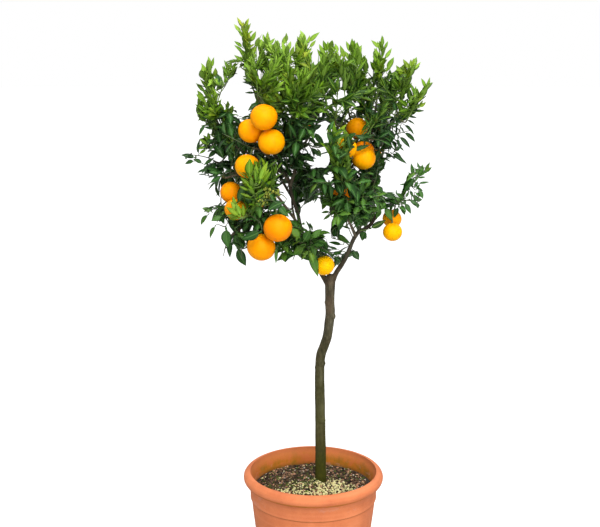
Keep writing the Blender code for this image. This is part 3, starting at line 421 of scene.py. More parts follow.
# Shoots read off the photograph that only the finish has: foot and tip in its pixels, their places in
# depth, habit and leaf size
EXTRA_SHOOTS = [
    ((258, 92), (256, 42), -0.02, -0.02, "young", 1.0),
    ((270, 90), (275, 42), 0.0, -0.02, "young", 1.0),
    ((268, 100), (277, 62), -0.10, -0.13, "young", 1.0),
    ((245, 62), (228, 58), 0.0, 0.0, "young", 0.7),
    ((295, 95), (297, 50), 0.06, 0.06, "young", 1.0),
    ((310, 100), (312, 55), -0.06, -0.08, "young", 1.0),
    ((322, 98), (324, 62), -0.04, -0.06, "young", 1.0),
    ((345, 96), (338, 52), -0.03, -0.04, "young", 1.0),
    ((352, 100), (360, 50), 0.0, -0.02, "young", 1.0),
    ((364, 104), (366, 62), 0.05, 0.02, "young", 1.0),
    ((372, 104), (374, 58), 0.08, 0.08, "young", 0.9),
    ((375, 118), (395, 84), 0.05, 0.03, "young", 1.0),
    ((392, 112), (401, 70), 0.03, 0.02, "young", 1.0),
    ((222, 150), (202, 138), 0.03, 0.02, "old", 1.0),
    ((216, 128), (207, 108), -0.04, -0.05, "young", 0.9),
    ((264, 204), (278, 168), -0.17, -0.20, "young", 0.9),
    ((258, 206), (247, 172), -0.185, -0.20, "young", 0.9),
    ((290, 185), (315, 190), 0.05, 0.04, "old", 1.0),
    ((346, 192), (348, 136), -0.145, -0.165, "young", 0.9),
    ((336, 190), (330, 135), -0.13, -0.16, "young", 0.9),
    ((350, 200), (362, 190), -0.09, -0.10, "old", 1.0),
    ((378, 150), (402, 158), 0.06, 0.05, "old", 1.0),
    ((372, 178), (384, 170), 0.06, 0.05, "old", 0.9),
    ((300, 236), (284, 246), -0.06, -0.07, "old", 1.0),
    ((306, 232), (320, 246), -0.07, -0.09, "old", 1.0),
    ((388, 130), (405, 120), 0.04, 0.04, "old", 0.9),
    ((386, 140), (404, 133), 0.04, 0.04, "old", 0.9),
    ((382, 150), (398, 138), 0.04, 0.04, "old", 0.9),
    ((380, 162), (394, 152), 0.04, 0.04, "old", 0.9),
    ((376, 178), (380, 152), 0.0, -0.01, "old", 1.0),
    ((372, 192), (378, 166), 0.01, 0.0, "old", 1.0),
    ((382, 128), (378, 108), -0.02, -0.03, "old", 1.0),
    ((392, 132), (396, 112), 0.0, -0.01, "old", 1.0),
    ((382, 146), (386, 124), -0.03, -0.04, "old", 1.0),
    ((300, 150), (302, 118), -0.02, -0.05, "old", 1.0),
    ((292, 156), (290, 128), -0.04, -0.06, "old", 1.0),
    ((298, 172), (304, 148), -0.02, -0.03, "old", 1.0),
    ((288, 176), (286, 152), -0.06, -0.08, "old", 1.0),
    ((310, 134), (313, 112), -0.02, -0.04, "old", 1.0),
    ((302, 250), (312, 232), -0.06, -0.08, "old", 1.0),
    ((294, 252), (292, 234), -0.08, -0.10, "old", 1.0),
    ((310, 254), (322, 240), -0.04, -0.06, "old", 1.0),
    ((286, 250), (280, 252), -0.10, -0.12, "old", 1.0),
    ((346, 226), (352, 200), -0.08, -0.10, "old", 1.0),
    ((358, 222), (368, 200), -0.04, -0.05, "old", 1.0),
    ((334, 206), (340, 190), -0.12, -0.13, "old", 1.0),
    ((350, 215), (338, 196), -0.12, -0.14, "old", 1.0),
    ((235, 156), (228, 124), -0.05, -0.08, "young", 0.95),
    ((226, 148), (214, 132), -0.02, -0.04, "young", 0.9),
    ((248, 216), (262, 190), -0.16, -0.18, "young", 0.9),
    ((392, 203), (400, 196), -0.02, -0.03, "old", 0.9),
    ((384, 202), (386, 192), -0.02, -0.03, "old", 0.9),
    ((345, 118), (338, 104), 0.02, 0.01, "old", 0.9),
    ((352, 118), (350, 102), 0.03, 0.03, "old", 0.9),
    ((366, 116), (364, 98), 0.0, -0.01, "old", 1.0),
    ((215, 168), (208, 164), -0.02, -0.02, "old", 0.9),
    ((232, 214), (226, 226), -0.07, -0.07, "old", 1.0),
    ((222, 132), (208, 122), 0.02, 0.0, "young", 0.9),
    ((221, 166), (209, 158), 0.0, -0.02, "old", 0.9),
    ((222, 152), (207, 145), 0.0, -0.02, "old", 0.9),
    ((398, 116), (411, 104), 0.02, 0.01, "young", 0.9),
    ((330, 214), (330, 200), -0.08, -0.10, "old", 1.0),
]
# Single leaves read off the photograph, in groups: habit, place in depth, how broad they are against their
# length, how far they arch and the way they face, then each leaf's root and tip in pixels
SINGLE_LEAVES = [
    ("young", -0.03, 0.31, 0.0, "front", [
        (243, 29, 237, 17), (242, 33, 234, 24), (245, 28, 249, 18), (246, 33, 251, 23), (250, 43, 256, 31),
        (243, 48, 234, 41), (244, 54, 234, 45), (243, 62, 234, 55), (251, 58, 256, 46), (244, 30, 243, 21),
    ]),
    ("young", 0.02, 0.33, 0.0, "front", [
        (266, 44, 268, 31), (264, 47, 258, 38), (262, 51, 256, 43), (268, 46, 275, 38), (264, 42, 263, 34),
        (279, 52, 278, 40), (282, 46, 287, 34), (288, 52, 291, 41), (290, 56, 294, 46), (278, 54, 272, 44),
    ]),
    ("young", 0.02, 0.31, 0.0, "front", [
        (306, 43, 300, 30), (308, 43, 320, 32), (303, 46, 297, 36), (303, 54, 295, 44), (307, 44, 310, 35),
        (306, 60, 313, 51), (306, 52, 306, 38), (309, 48, 316, 40),
    ]),
    ("young", 0.0, 0.32, 0.0, "front", [
        (327, 53, 323, 40), (328, 53, 332, 40), (330, 56, 336, 45), (325, 55, 319, 44), (325, 60, 317, 49),
        (332, 60, 338, 49), (328, 51, 328, 41), (345, 60, 340, 45), (333, 66, 340, 58),
    ]),
    ("young", 0.05, 0.33, 0.0, "front", [
        (351, 54, 346, 41), (353, 51, 352, 38), (356, 56, 362, 45), (359, 66, 366, 55), (355, 54, 357, 42),
        (352, 62, 345, 51), (368, 71, 366, 60),
    ]),
    ("young", 0.04, 0.31, 0.0, "front", [
        (380, 49, 371, 40), (382, 48, 382, 35), (384, 50, 388, 41), (380, 50, 377, 41), (381, 60, 374, 48),
        (384, 60, 392, 48), (380, 66, 373, 54), (386, 70, 394, 57), (384, 72, 391, 68), (381, 74, 374, 64),
    ]),
    ("young", 0.01, 0.33, 0.0, "front", [
        (409, 70, 403, 59), (404, 77, 396, 65), (411, 69, 414, 58), (413, 70, 421, 62), (412, 71, 420, 66),
        (408, 76, 401, 66), (410, 68, 411, 59), (400, 82, 394, 72),
    ]),
    ("young", 0.0, 0.30, 0.0, "front", [
        (426, 89, 421, 78), (427, 88, 430, 77), (427, 90, 432, 82), (414, 94, 410, 83), (415, 96, 416, 86),
        (419, 108, 426, 102), (416, 112, 423, 111), (418, 101, 424, 96),
    ]),
    ("young", -0.02, 0.27, 0.0, "front", [
        (211, 69, 208, 56), (212, 68, 214, 57), (208, 73, 201, 63), (207, 80, 199, 71), (207, 88, 200, 79),
        (206, 93, 196, 83), (205, 100, 197, 90), (206, 103, 196, 94), (206, 113, 195, 104), (206, 117, 196, 113),
        (207, 112, 198, 121), (210, 75, 204, 66),
    ]),
    ("young", 0.01, 0.28, 0.0, "front", [
        (229, 72, 224, 60), (228, 76, 222, 66), (230, 70, 231, 61), (232, 72, 236, 62), (228, 82, 223, 74),
        (231, 68, 239, 63), (226, 84, 224, 78),
    ]),
    ("young", -0.05, 0.27, 0.0, "front", [
        (228, 110, 228, 100), (230, 116, 234, 109), (224, 112, 221, 104), (219, 116, 215, 107),
    ]),
    ("old", 0.0, 0.24, 0.3, "front", [
        (254, 84, 242, 82), (256, 93, 244, 93), (257, 88, 249, 89), (220, 85, 214, 70),
    ]),
    ("old", -0.13, 0.26, 0.7, "edge", [(259, 104, 248, 110), (250, 114, 249, 119)]),
    ("old", 0.04, 0.27, 0.8, "edge", [
        (406, 120, 415, 125), (403, 124, 414, 135), (403, 132, 415, 142), (398, 136, 410, 148), (400, 126, 404, 134),
        (397, 138, 400, 148), (409, 117, 417, 118),
    ]),
    ("old", 0.04, 0.20, 0.2, "front", [
        (394, 151, 402, 158), (390, 152, 407, 164), (383, 158, 391, 162), (381, 162, 385, 170),
        (399, 146, 404, 151), (386, 160, 384, 168),
    ]),
    ("old", 0.0, 0.29, 0.0, "front", [
        (413, 177, 411, 163), (417, 174, 414, 167), (420, 170, 417, 162), (423, 173, 422, 164), (424, 171, 430, 162),
        (426, 173, 432, 167), (413, 178, 408, 172), (416, 175, 419, 168),
    ]),
    ("old", 0.0, 0.38, 0.1, "front", [
        (417, 176, 427, 171), (418, 175, 425, 167), (414, 188, 418, 181), (416, 190, 420, 184), (413, 187, 410, 180),
        (410, 190, 413, 197), (413, 183, 409, 178), (415, 182, 418, 176),
    ]),
    ("old", 0.0, 0.19, 0.2, "front", [(417, 178, 426, 177), (417, 184, 430, 182), (397, 196, 396, 189)]),
    ("old", 0.0, 0.22, 0.7, "edge", [(409, 186, 399, 185)]),
    ("old", 0.0, 0.40, 0.2, "front", [
        (409, 192, 405, 183), (407, 190, 400, 197), (402, 191, 403, 200), (407, 187, 402, 191), (416, 188, 423, 191),
        (419, 189, 423, 199), (415, 192, 421, 197), (412, 194, 420, 202),
    ]),
    ("old", -0.01, 0.40, 0.4, "front", [(409, 199, 419, 208), (405, 202, 411, 214), (401, 203, 405, 215)]),
    ("old", -0.01, 0.38, 0.2, "front", [
        (404, 200, 396, 193), (402, 203, 392, 197), (400, 205, 389, 202), (398, 200, 390, 194), (396, 207, 387, 204),
        (396, 203, 404, 196), (407, 200, 401, 205), (393, 204, 390, 212), (405, 198, 409, 191),
    ]),
    ("old", -0.02, 0.36, 0.6, "front", [(196, 158, 181, 155), (195, 161, 185, 164), (203, 164, 193, 159)]),
    ("old", -0.02, 0.24, 0.4, "edge", [
        (208, 169, 197, 173), (212, 172, 203, 173), (214, 175, 208, 179), (217, 181, 208, 191), (206, 124, 199, 136),
        (221, 190, 216, 197),
    ]),
    ("young", -0.03, 0.34, 0.0, "front", [
        (208, 145, 199, 139), (209, 143, 203, 135), (210, 141, 208, 132), (206, 147, 198, 149), (207, 149, 199, 154),
    ]),
    ("old", -0.10, 0.50, 0.3, "front", [(226, 227, 228, 248), (223, 216, 211, 221)]),
    ("old", -0.08, 0.44, 0.3, "front", [(236, 231, 240, 251), (237, 246, 246, 266), (212, 212, 202, 208)]),
    ("old", -0.05, 0.32, 0.3, "front", [(231, 239, 230, 258), (243, 236, 243, 250), (233, 224, 240, 238)]),
    ("old", -0.06, 0.32, 0.4, "edge", [
        (209, 214, 201, 225), (216, 225, 210, 239), (217, 209, 228, 207), (214, 208, 206, 212),
    ]),
    ("young", -0.176, 0.34, 0.1, "front", [
        (241, 218, 230, 201), (240, 217, 226, 207), (241, 217, 236, 203), (241, 219, 226, 215), (243, 218, 243, 204),
        (238, 219, 229, 219), (242, 216, 248, 208), (238, 214, 231, 209),
    ]),
    ("old", -0.12, 0.42, 0.2, "front", [
        (264, 227, 247, 223), (262, 236, 246, 232), (258, 240, 245, 241), (250, 222, 243, 232),
    ]),
    ("old", -0.02, 0.44, 0.2, "front", [
        (231, 132, 228, 150), (236, 140, 244, 150), (224, 127, 219, 139), (234, 128, 240, 139), (246, 145, 252, 155),
        (226, 142, 219, 151), (240, 133, 246, 143), (243, 153, 236, 158),
    ]),
    ("old", -0.11, 0.36, 0.3, "front", [
        (222, 176, 210, 183), (219, 174, 209, 172), (222, 171, 212, 177),
    ]),
    ("old", -0.02, 0.36, 0.3, "front", [
        (214, 158, 204, 165), (217, 150, 208, 158), (214, 141, 203, 146), (213, 130, 203, 127), (216, 165, 205, 170),
        (209, 120, 201, 117),
    ]),
    ("old", -0.17, 0.22, 0.2, "front", [(277, 246, 276, 264)]),
    ("old", -0.215, 0.48, 0.1, "front", [(262, 231, 242, 239)]),
    ("old", -0.235, 0.42, 0.2, "front", [(277, 203, 289, 217)]),
    ("old", -0.10, 0.25, 0.1, "front", [(310, 245, 318, 277)]),
    ("old", -0.095, 0.34, 0.1, "front", [(331, 254, 315, 247)]),
    ("old", -0.05, 0.50, 0.2, "front", [(300, 248, 311, 261)]),
    ("old", -0.13, 0.60, 0.2, "front", [
        (311, 239, 322, 229), (303, 242, 310, 230), (305, 246, 293, 255), (300, 238, 291, 228), (316, 247, 325, 240),
    ]),
    ("old", -0.03, 0.70, 0.2, "front", [(366, 230, 362, 241)]),
    ("old", -0.03, 0.52, 0.2, "front", [(353, 250, 359, 260)]),
    ("old", -0.03, 0.34, 0.2, "front", [(334, 233, 351, 244), (331, 255, 343, 251), (333, 255, 341, 263)]),
    ("old", -0.03, 0.24, 0.3, "front", [(343, 245, 328, 242), (339, 250, 327, 246), (341, 226, 351, 229)]),
    ("old", -0.06, 0.44, 0.2, "front", [(342, 217, 339, 231), (327, 199, 322, 210)]),
    ("old", -0.08, 0.28, 0.2, "front", [(332, 213, 323, 220), (331, 212, 321, 213)]),
    ("old", -0.035, 0.42, 0.2, "front", [(384, 206, 392, 221), (399, 206, 394, 218), (381, 208, 376, 219)]),
    ("young", -0.04, 0.32, 0.2, "front", [(369, 229, 386, 220)]),
    ("old", -0.12, 0.22, 0.2, "front", [(351, 151, 370, 145)]),
    ("young", 0.02, 0.38, 0.0, "front", [
        (390, 91, 394, 73), (402, 88, 411, 78), (411, 102, 409, 87), (419, 97, 415, 87), (388, 81, 390, 69),
        (404, 112, 396, 102), (402, 119, 411, 110), (396, 112, 406, 117), (408, 111, 416, 104),
    ]),
    ("young", 0.0, 0.26, 0.0, "front", [(386, 71, 394, 58), (418, 108, 423, 100)]),
    ("old", 0.02, 0.18, 0.3, "front", [(404, 115, 417, 118), (412, 111, 425, 111)]),
    ("old", -0.14, 0.36, 0.7, "front", [(260, 103, 248, 111)]),
    ("old", -0.15, 0.42, 0.2, "front", [(245, 184, 238, 203)]),
    ("young", -0.165, 0.34, 0.1, "front", [(236, 207, 233, 196)]),
    ("old", 0.0, 0.26, 0.2, "front", [
        (313, 131, 325, 147), (332, 143, 317, 148), (310, 147, 321, 157), (336, 168, 323, 169), (334, 122, 326, 131),
        (309, 136, 317, 146), (316, 144, 308, 138),
    ]),
    ("old", -0.11, 0.38, 0.2, "front", [(370, 142, 355, 135), (374, 135, 361, 140), (346, 139, 356, 133)]),
    ("old", 0.10, 0.42, 0.2, "front", [
        (374, 149, 383, 160), (384, 165, 375, 155), (373, 165, 383, 158), (297, 117, 309, 127), (310, 119, 299, 127),
        (293, 131, 304, 123),
    ]),
    ("young", -0.10, 0.22, 0.2, "front", [(372, 120, 361, 133), (371, 131, 358, 142), (369, 125, 363, 117)]),
    ("young", -0.17, 0.26, 0.1, "front", [
        (334, 139, 334, 121), (335, 138, 347, 124), (336, 143, 348, 132), (334, 146, 330, 132), (339, 147, 351, 139),
        (343, 153, 352, 147), (338, 150, 334, 138), (340, 157, 332, 147), (341, 159, 349, 148), (340, 164, 331, 156),
        (342, 169, 351, 159), (340, 174, 332, 165), (342, 178, 352, 169), (341, 183, 334, 173), (344, 186, 350, 178),
        (338, 146, 341, 135),
    ]),
    ("young", -0.205, 0.46, 0.1, "front", [(250, 177, 250, 158)]),
    ("young", -0.20, 0.25, 0.1, "front", [
        (256, 183, 254, 166), (257, 183, 261, 164), (259, 184, 268, 161), (261, 186, 272, 170), (254, 184, 245, 171),
        (252, 187, 240, 177), (262, 190, 273, 179), (250, 191, 239, 186), (257, 193, 268, 186), (258, 177, 256, 163),
        (262, 181, 269, 169), (254, 192, 245, 182), (251, 197, 240, 193), (256, 199, 266, 193),
    ]),
    ("old", -0.13, 0.44, 0.1, "front", [(243, 186, 239, 202)]),
    ("old", 0.0, 0.30, 0.3, "front", [(321, 171, 329, 175), (338, 177, 331, 178), (329, 185, 329, 179), (336, 170, 331, 174)]),
    ("old", -0.245, 0.55, 0.2, "front", [(285, 202, 267, 211)]),
    ("old", -0.14, 0.45, 0.2, "front", [(344, 210, 341, 226), (350, 212, 352, 224)]),
]

# Thin bare twigs that cross the openings: pixels along each, and place in depth
BARE_TWIGS = [
    ([(298, 211), (304, 204), (312, 197)], 0.02), ([(357, 233), (351, 224), (347, 215)], -0.02),
    ([(353, 236), (348, 227), (344, 217)], -0.02), ([(326, 240), (332, 231), (338, 226)], -0.04),
    ([(229, 78), (224, 88), (217, 98), (213, 106)], 0.0), ([(256, 43), (253, 50), (251, 57)], 0.0),
]
# Flower buds on the bright shoot at the front: middle and half sizes in pixels, place in depth and number
BUD_CLUSTERS = [((271, 193), (9, 6), -0.215, 36), ((262, 203), (6, 4), -0.205, 14)]

# Shoots that fill the crown: how many are tried, the room round each tip, and how far they reach
FILL_TRIES = 6000
FILL_ROOM = 0.038
FILL_EDGE = 10.0
FILL_THIN = 0.10
FILL_REACH = (0.030, 0.115)
CROWN_DEPTH = 0.25
CROWN_HALF_WIDTH = 0.34
CROWN_FLOOR = 0.96
CROWN_TOP = 1.58
YOUNG_ABOVE = 1.36
CROWN_CENTRE = (0.0, 0.02, 1.27)
CROWN_REACH = (0.34, 0.25, 0.31)
# Painted shade: how much darker the leaves are painted at the crown's centre than at its skin
INNER_SHADE = 0.24

FINE_COLUMNS = 5
PLAIN_COLUMNS = 3
LEAF_THICK = 0.008
PETIOLE_SHARE = 0.15
TEMPLATES = 6
TURNS_TRIED = (0, 30, -30, 65, -65, 110)
BOX_MARGIN = 0.008


def material_nodes(name):
    material = bpy.data.materials.new(name)
    material.use_nodes = True
    tree = material.node_tree
    return material, tree, tree.nodes["Principled BSDF"]


def add_node(tree, kind, **values):
    node = tree.nodes.new(kind)
    for key, value in values.items():
        if key in node.inputs:
            node.inputs[key].default_value = value
        else:
            setattr(node, key, value)
    return node


def ramp(tree, source, stops):
    node = tree.nodes.new("ShaderNodeValToRGB")
    while len(node.color_ramp.elements) < len(stops):
        node.color_ramp.elements.new(0.5)
    for element, (place, colour) in zip(node.color_ramp.elements, stops):
        element.position = place
        element.color = (*colour, 1.0)
    tree.links.new(source, node.inputs["Fac"])
    return node.outputs["Color"]


def grey(value):
    return (value, value, value)


def mix(tree, factor, first, second, kind="MIX"):
    """Mixes two colours. Each may be a socket or a colour, and the factor a socket or a number."""
    node = tree.nodes.new("ShaderNodeMix")
    node.data_type = "RGBA"
    node.blend_type = kind
    for place, value in ((0, factor), (6, first), (7, second)):
        if isinstance(value, bpy.types.NodeSocket):
            tree.links.new(value, node.inputs[place])
        elif place == 0:
            node.inputs[0].default_value = value
        else:
            node.inputs[place].default_value = (*value, 1.0)
    return node.outputs[2]


def noise_at(tree, scale, detail=4.0, roughness=0.55, stretch=(1, 1, 1)):
    where = tree.nodes.new("ShaderNodeTexCoord")
    mapping = add_node(tree, "ShaderNodeMapping")
    mapping.inputs["Scale"].default_value = stretch
    tree.links.new(where.outputs["Object"], mapping.inputs["Vector"])
    node = add_node(tree, "ShaderNodeTexNoise", Scale=scale, Detail=detail, Roughness=roughness)
    tree.links.new(mapping.outputs["Vector"], node.inputs["Vector"])
    return node.outputs["Fac"]


def height_at(tree, low, high):
    """0 at a height of low metres, 1 at high."""
    where = tree.nodes.new("ShaderNodeTexCoord")
    split = tree.nodes.new("ShaderNodeSeparateXYZ")
    tree.links.new(where.outputs["Object"], split.inputs["Vector"])
    node = tree.nodes.new("ShaderNodeMapRange")
    node.inputs["From Min"].default_value = low
    node.inputs["From Max"].default_value = high
    tree.links.new(split.outputs["Z"], node.inputs["Value"])
    return node.outputs["Result"]


def bump(tree, shader, source, strength, distance):
    node = add_node(tree, "ShaderNodeBump", Strength=strength, Distance=distance)
    tree.links.new(source, node.inputs["Height"])
    tree.links.new(node.outputs["Normal"], shader.inputs["Normal"])


def add_object(name, mesh, material=None):
    thing = bpy.data.objects.new(name, mesh)
    bpy.context.scene.collection.objects.link(thing)
    if material is not None:
        mesh.materials.append(material)
    return thing


def placed(thing, slot, *nodes):
    """The piece rides on the one body and stands for its nodes, which it hides. The slot is not used."""
    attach(thing, "root")
    if nodes:
        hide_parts(*nodes)
    return thing


def seen_at(points):
    """Where points show in the photograph, in pixels, and how far in front of the camera they are."""
    points = np.asarray(points, dtype=float)
    forward = points[..., 1] + CAMERA_BACK
    rise = points[..., 2] - CAMERA_HEIGHT
    depth = forward * math.cos(CAMERA_TILT) - rise * math.sin(CAMERA_TILT)
    up = forward * math.sin(CAMERA_TILT) + rise * math.cos(CAMERA_TILT)
    across = PHOTO_WIDTH / 2 + FOCAL_PIXELS * (points[..., 0] - CAMERA_X) / depth
    down = PHOTO_HEIGHT / 2 - FOCAL_PIXELS * up / depth
    return across, down, depth


# Routes, the same as the solid model's


def smooth_route(points, per_span):
    knots = [Vector(point) for point in points]
    knots = [2 * knots[0] - knots[1]] + knots + [2 * knots[-1] - knots[-2]]
    route = []
    for i in range(1, len(knots) - 2):
        before, start, end, after = knots[i - 1:i + 3]
        for step in range(per_span):
            t = step / per_span
            route.append(0.5 * (
                2 * start + (end - before) * t
                + (2 * before - 5 * start + 4 * end - after) * t * t
                + (3 * start - before - 3 * end + after) * t ** 3
            ))
    route.append(knots[-2])
    return route


def bezier(start, out, into, end, spans):
    route = []
    for step in range(spans + 1):
        t = step / spans
        route.append(
            (1 - t) ** 3 * start + 3 * t * (1 - t) ** 2 * out + 3 * t * t * (1 - t) * into + t ** 3 * end
        )
    return route


def bent_clear(route, keep_ends=1, own_fruit=None):
    bent = [point.copy() for point in route]
    for point in bent[keep_ends:len(bent) - keep_ends]:
        for number, (centre, radius, _) in enumerate(FRUITS):
            if number == own_fruit:
                continue
            away = point - Vector(centre)
            room = radius + FRUIT_CLEARANCE
            if away.length < room:
                point += away.normalized() * (room - away.length)
    return bent


def branch_route(name, per_span=1):
    return bent_clear(smooth_route(BRANCHES[name][2], per_span))


def nearest_place(name, target):
    route = branch_route(name)
    places = []
    for start, end in zip(route, route[1:]):
        for step in range(8):
            places.append((start.lerp(end, step / 8), (end - start).normalized()))
    places.append((route[-1], (route[-1] - route[-2]).normalized()))
    distances = [(place - target).length for place, _ in places]
    best = distances.index(min(distances))
    back = 0.45 * distances[best]
    while best > 0 and back > 0:
        back -= (places[best][0] - places[best - 1][0]).length
        best -= 1
    return places[best]


def shoot_direction(foot, tip, habit):
    line = (tip - foot).normalized()
    lift = 0.0 if habit == "young" else 0.35
    return (line + Vector((0, 0, lift))).normalized()


def twig_route(parent, foot, tip, habit, spans=8):
    foot, tip = Vector(foot), Vector(tip)
    start, along = nearest_place(parent, foot)
    heading = shoot_direction(foot, tip, habit)
    reach = (foot - start).length
    last = foot - heading * STRAIGHT_END
    route = bezier(start, start + along * 0.35 * reach, last - heading * 0.35 * reach, last, spans)
    return [*bent_clear(route), foot]


def fruit_axis(number):
    centre, radius, parent = FRUITS[number]
    above = Vector(centre) + Vector((0, 0, radius + 2 * STALK_RISE))
    start, _ = nearest_place(parent, above)
    lean = start - Vector(centre)
    lean.z = 0.0
    if lean.length > STALK_TILT * radius:
        lean = lean.normalized() * STALK_TILT * radius
    return (Vector((0, 0, radius)) + lean).normalized()


def stalk_route(number, spans=8):
    centre, radius, parent = FRUITS[number]
    axis = fruit_axis(number)
    end = Vector(centre) + axis * (radius * FRUIT_OBLATE + GAP)
    start, along = nearest_place(parent, end + axis * STALK_RISE)
    reach = (end - start).length
    out = start + (along + Vector((0, 0, 0.4))) * 0.3 * reach
    last = end + axis * STRAIGHT_END
    into = last + axis * min(STALK_RISE, 0.5 * reach)
    return [*bent_clear(bezier(start, out, into, last, spans), 1, number), end]


def shoot_route(foot, tip, habit, spans=8):
    foot, tip = Vector(foot), Vector(tip)
    start = shoot_direction(foot, tip, habit)
    reach = (tip - foot).length
    first = foot + start * GAP
    second = first + start * STRAIGHT_END
    out = second + start * 0.3 * reach
    into = tip - (tip - out).normalized() * 0.3 * reach
    return [first, *bent_clear(bezier(second, out, into, tip, spans))]


def along_route(route, share):
    lengths = [(end - start).length for start, end in zip(route, route[1:])]
    left = share * sum(lengths)
    for start, end, length in zip(route, route[1:], lengths):
        if left <= length or end is route[-1]:
            return start.lerp(end, min(left / max(length, 1e-9), 1.0)), (end - start).normalized()
        left -= length
    return route[-1], (route[-1] - route[-2]).normalized()


def route_length(route):
    return sum((end - start).length for start, end in zip(route, route[1:]))


# Mesh building


class Builder:
    """Gathers many small shapes into one mesh, with a UV map and per-point numbers."""

    def __init__(self):
        self.points = []
        self.faces = []
        self.slots = []
        self.uvs = []
        self.tints = []
        self.unders = []
        self.count = 0

    def add(self, points, faces, slot=0, uvs=None, tint=0.5, unders=None):
        points = np.asarray(points, dtype=float)
        base = self.count
        self.points.append(points)
        self.faces += [tuple(base + i for i in face) for face in faces]
        self.slots += [slot] * len(faces)
        self.uvs.append(np.zeros((len(points), 2)) if uvs is None else uvs)
        self.tints.append(np.full(len(points), tint))
        self.unders.append(np.zeros(len(points)) if unders is None else unders)
        self.count += len(points)

    def tube(self, route, radii, sides, slot=0, tint=0.5, lumps=0.0):
        """A round bar with closed ends. radii is a pair, or a function of the share of the length."""
        rings = []
        side = None
        total = route_length(route)
        run = 0.0
        for i, place in enumerate(route):
            if i:
                run += (place - route[i - 1]).length
            share = run / total
            radius = radii(share) if callable(radii) else radii[0] + (radii[1] - radii[0]) * share
            ahead = route[min(i + 1, len(route) - 1)] - route[max(i - 1, 0)]
            along = ahead.normalized()
            side = along.orthogonal() if side is None else side - along * side.dot(along)
            side.normalize()
            other = along.cross(side)
            ring = []
            for k in range(sides):
                turn = 2 * math.pi * k / sides
                out = side * math.cos(turn) + other * math.sin(turn)
                place_out = place + out * radius
                if lumps:
                    place_out += out * lumps * noise.noise(place_out * 140)
                ring.append(place_out)
            rings.append(ring)
        points = [point for ring in rings for point in ring]
        faces = []
        for i in range(len(rings) - 1):
            for k in range(sides):
                after = (k + 1) % sides
                faces.append((i * sides + k, i * sides + after, (i + 1) * sides + after, (i + 1) * sides + k))
        faces.append(tuple(range(sides))[::-1])
        last = (len(rings) - 1) * sides
        faces.append(tuple(last + k for k in range(sides)))
        self.add([tuple(point) for point in points], faces, slot, tint=tint)

    def build(self, name, materials):
        mesh = bpy.data.meshes.new(name)
        mesh.from_pydata(np.concatenate(self.points).tolist(), [], self.faces)
        for material in materials:
            mesh.materials.append(material)
        mesh.polygons.foreach_set("material_index", self.slots)
        corners = np.zeros(len(mesh.loops), dtype=np.int32)
        mesh.loops.foreach_get("vertex_index", corners)
        layer = mesh.uv_layers.new(name="blade")
        layer.data.foreach_set("uv", np.concatenate(self.uvs)[corners].ravel())
        for label, values in (("tint", self.tints), ("under", self.unders)):
            attribute = mesh.attributes.new(label, "FLOAT", "POINT")
            attribute.data.foreach_set("value", np.concatenate(values).astype(np.float32))
        mesh.shade_smooth()
        mesh.update()
        thing = bpy.data.objects.new(name, mesh)
        bpy.context.scene.collection.objects.link(thing)
        return thing


# Pot


def terracotta():
    material, tree, shader = material_nodes("terracotta")
    blotch = noise_at(tree, 9.0, 5.0, 0.6)
    base = ramp(tree, blotch, [(0.30, (0.46, 0.122, 0.044)), (0.52, (0.575, 0.172, 0.064)), (0.75, (0.66, 0.212, 0.090))])
    bands = noise_at(tree, 5.0, 3.0, 0.5, (1, 1, 26))
    base = mix(tree, ramp(tree, bands, [(0.40, grey(0.0)), (0.75, grey(0.30))]), base, (0.70, 0.250, 0.112))
    where = tree.nodes.new("ShaderNodeTexCoord")
    split = tree.nodes.new("ShaderNodeSeparateXYZ")
    tree.links.new(where.outputs["Normal"], split.inputs["Vector"])
    inward = tree.nodes.new("ShaderNodeVectorMath")
    inward.operation = "DOT_PRODUCT"
    tree.links.new(where.outputs["Normal"], inward.inputs[0])
    tree.links.new(where.outputs["Object"], inward.inputs[1])
    inside = ramp(tree, inward.outputs["Value"], [(0.0, grey(1.0)), (0.02, grey(0.0))])
    stain = noise_at(tree, 24.0, 6.0, 0.7)
    stained = ramp(tree, stain, [
        (0.38, (0.47, 0.120, 0.026)), (0.50, (0.40, 0.125, 0.006)), (0.58, (0.27, 0.115, 0.002)), (0.70, (0.15, 0.060, 0.004)),
    ])
    low = ramp(tree, height_at(tree, 0.346, 0.316), [(0.0, grey(0.0)), (1.0, grey(0.9))])
    stained = mix(tree, low, (0.56, 0.165, 0.056), stained)
    # The inner wall darkens in a band just above the soil
    darker_above_soil = ramp(tree, height_at(tree, 0.312, 0.300), [(0.2, grey(0.0)), (1.0, grey(0.6))])
    stained = mix(tree, darker_above_soil, stained, (0.16, 0.075, 0.010))
    base = mix(tree, inside, base, stained)
    bloom = noise_at(tree, 22.0, 4.0, 0.65, (1, 1, 2.0))
    collar = ramp(tree, height_at(tree, 0.262, 0.322), [(0.0, grey(0.0)), (0.3, grey(1.0)), (0.9, grey(1.0)), (1.0, grey(0.0))])
    lime = mix(tree, 1.0, collar, ramp(tree, bloom, [(0.56, grey(0.0)), (0.72, grey(0.42))]), "MULTIPLY")
    base = mix(tree, lime, base, (0.50, 0.27, 0.22))
    grit = noise_at(tree, 420.0, 3.0, 0.7)
    base = mix(tree, 0.25, base, ramp(tree, grit, [(0.3, grey(0.55)), (0.7, grey(1.0))]), "MULTIPLY")
    tree.links.new(base, shader.inputs["Base Color"])
    tree.links.new(ramp(tree, blotch, [(0.3, grey(0.62)), (0.7, grey(0.82))]), shader.inputs["Roughness"])
    shader.inputs["Specular IOR Level"].default_value = 0.20
    bump(tree, shader, grit, 0.35, 0.0006)
    return material


def inner_wall(height):
    low, high = BASE_RADIUS - WALL, BODY_RADIUS - WALL
    top = POT_HEIGHT - RIM_TALL - COLLAR_TALL
    return low + (high - low) * height / top


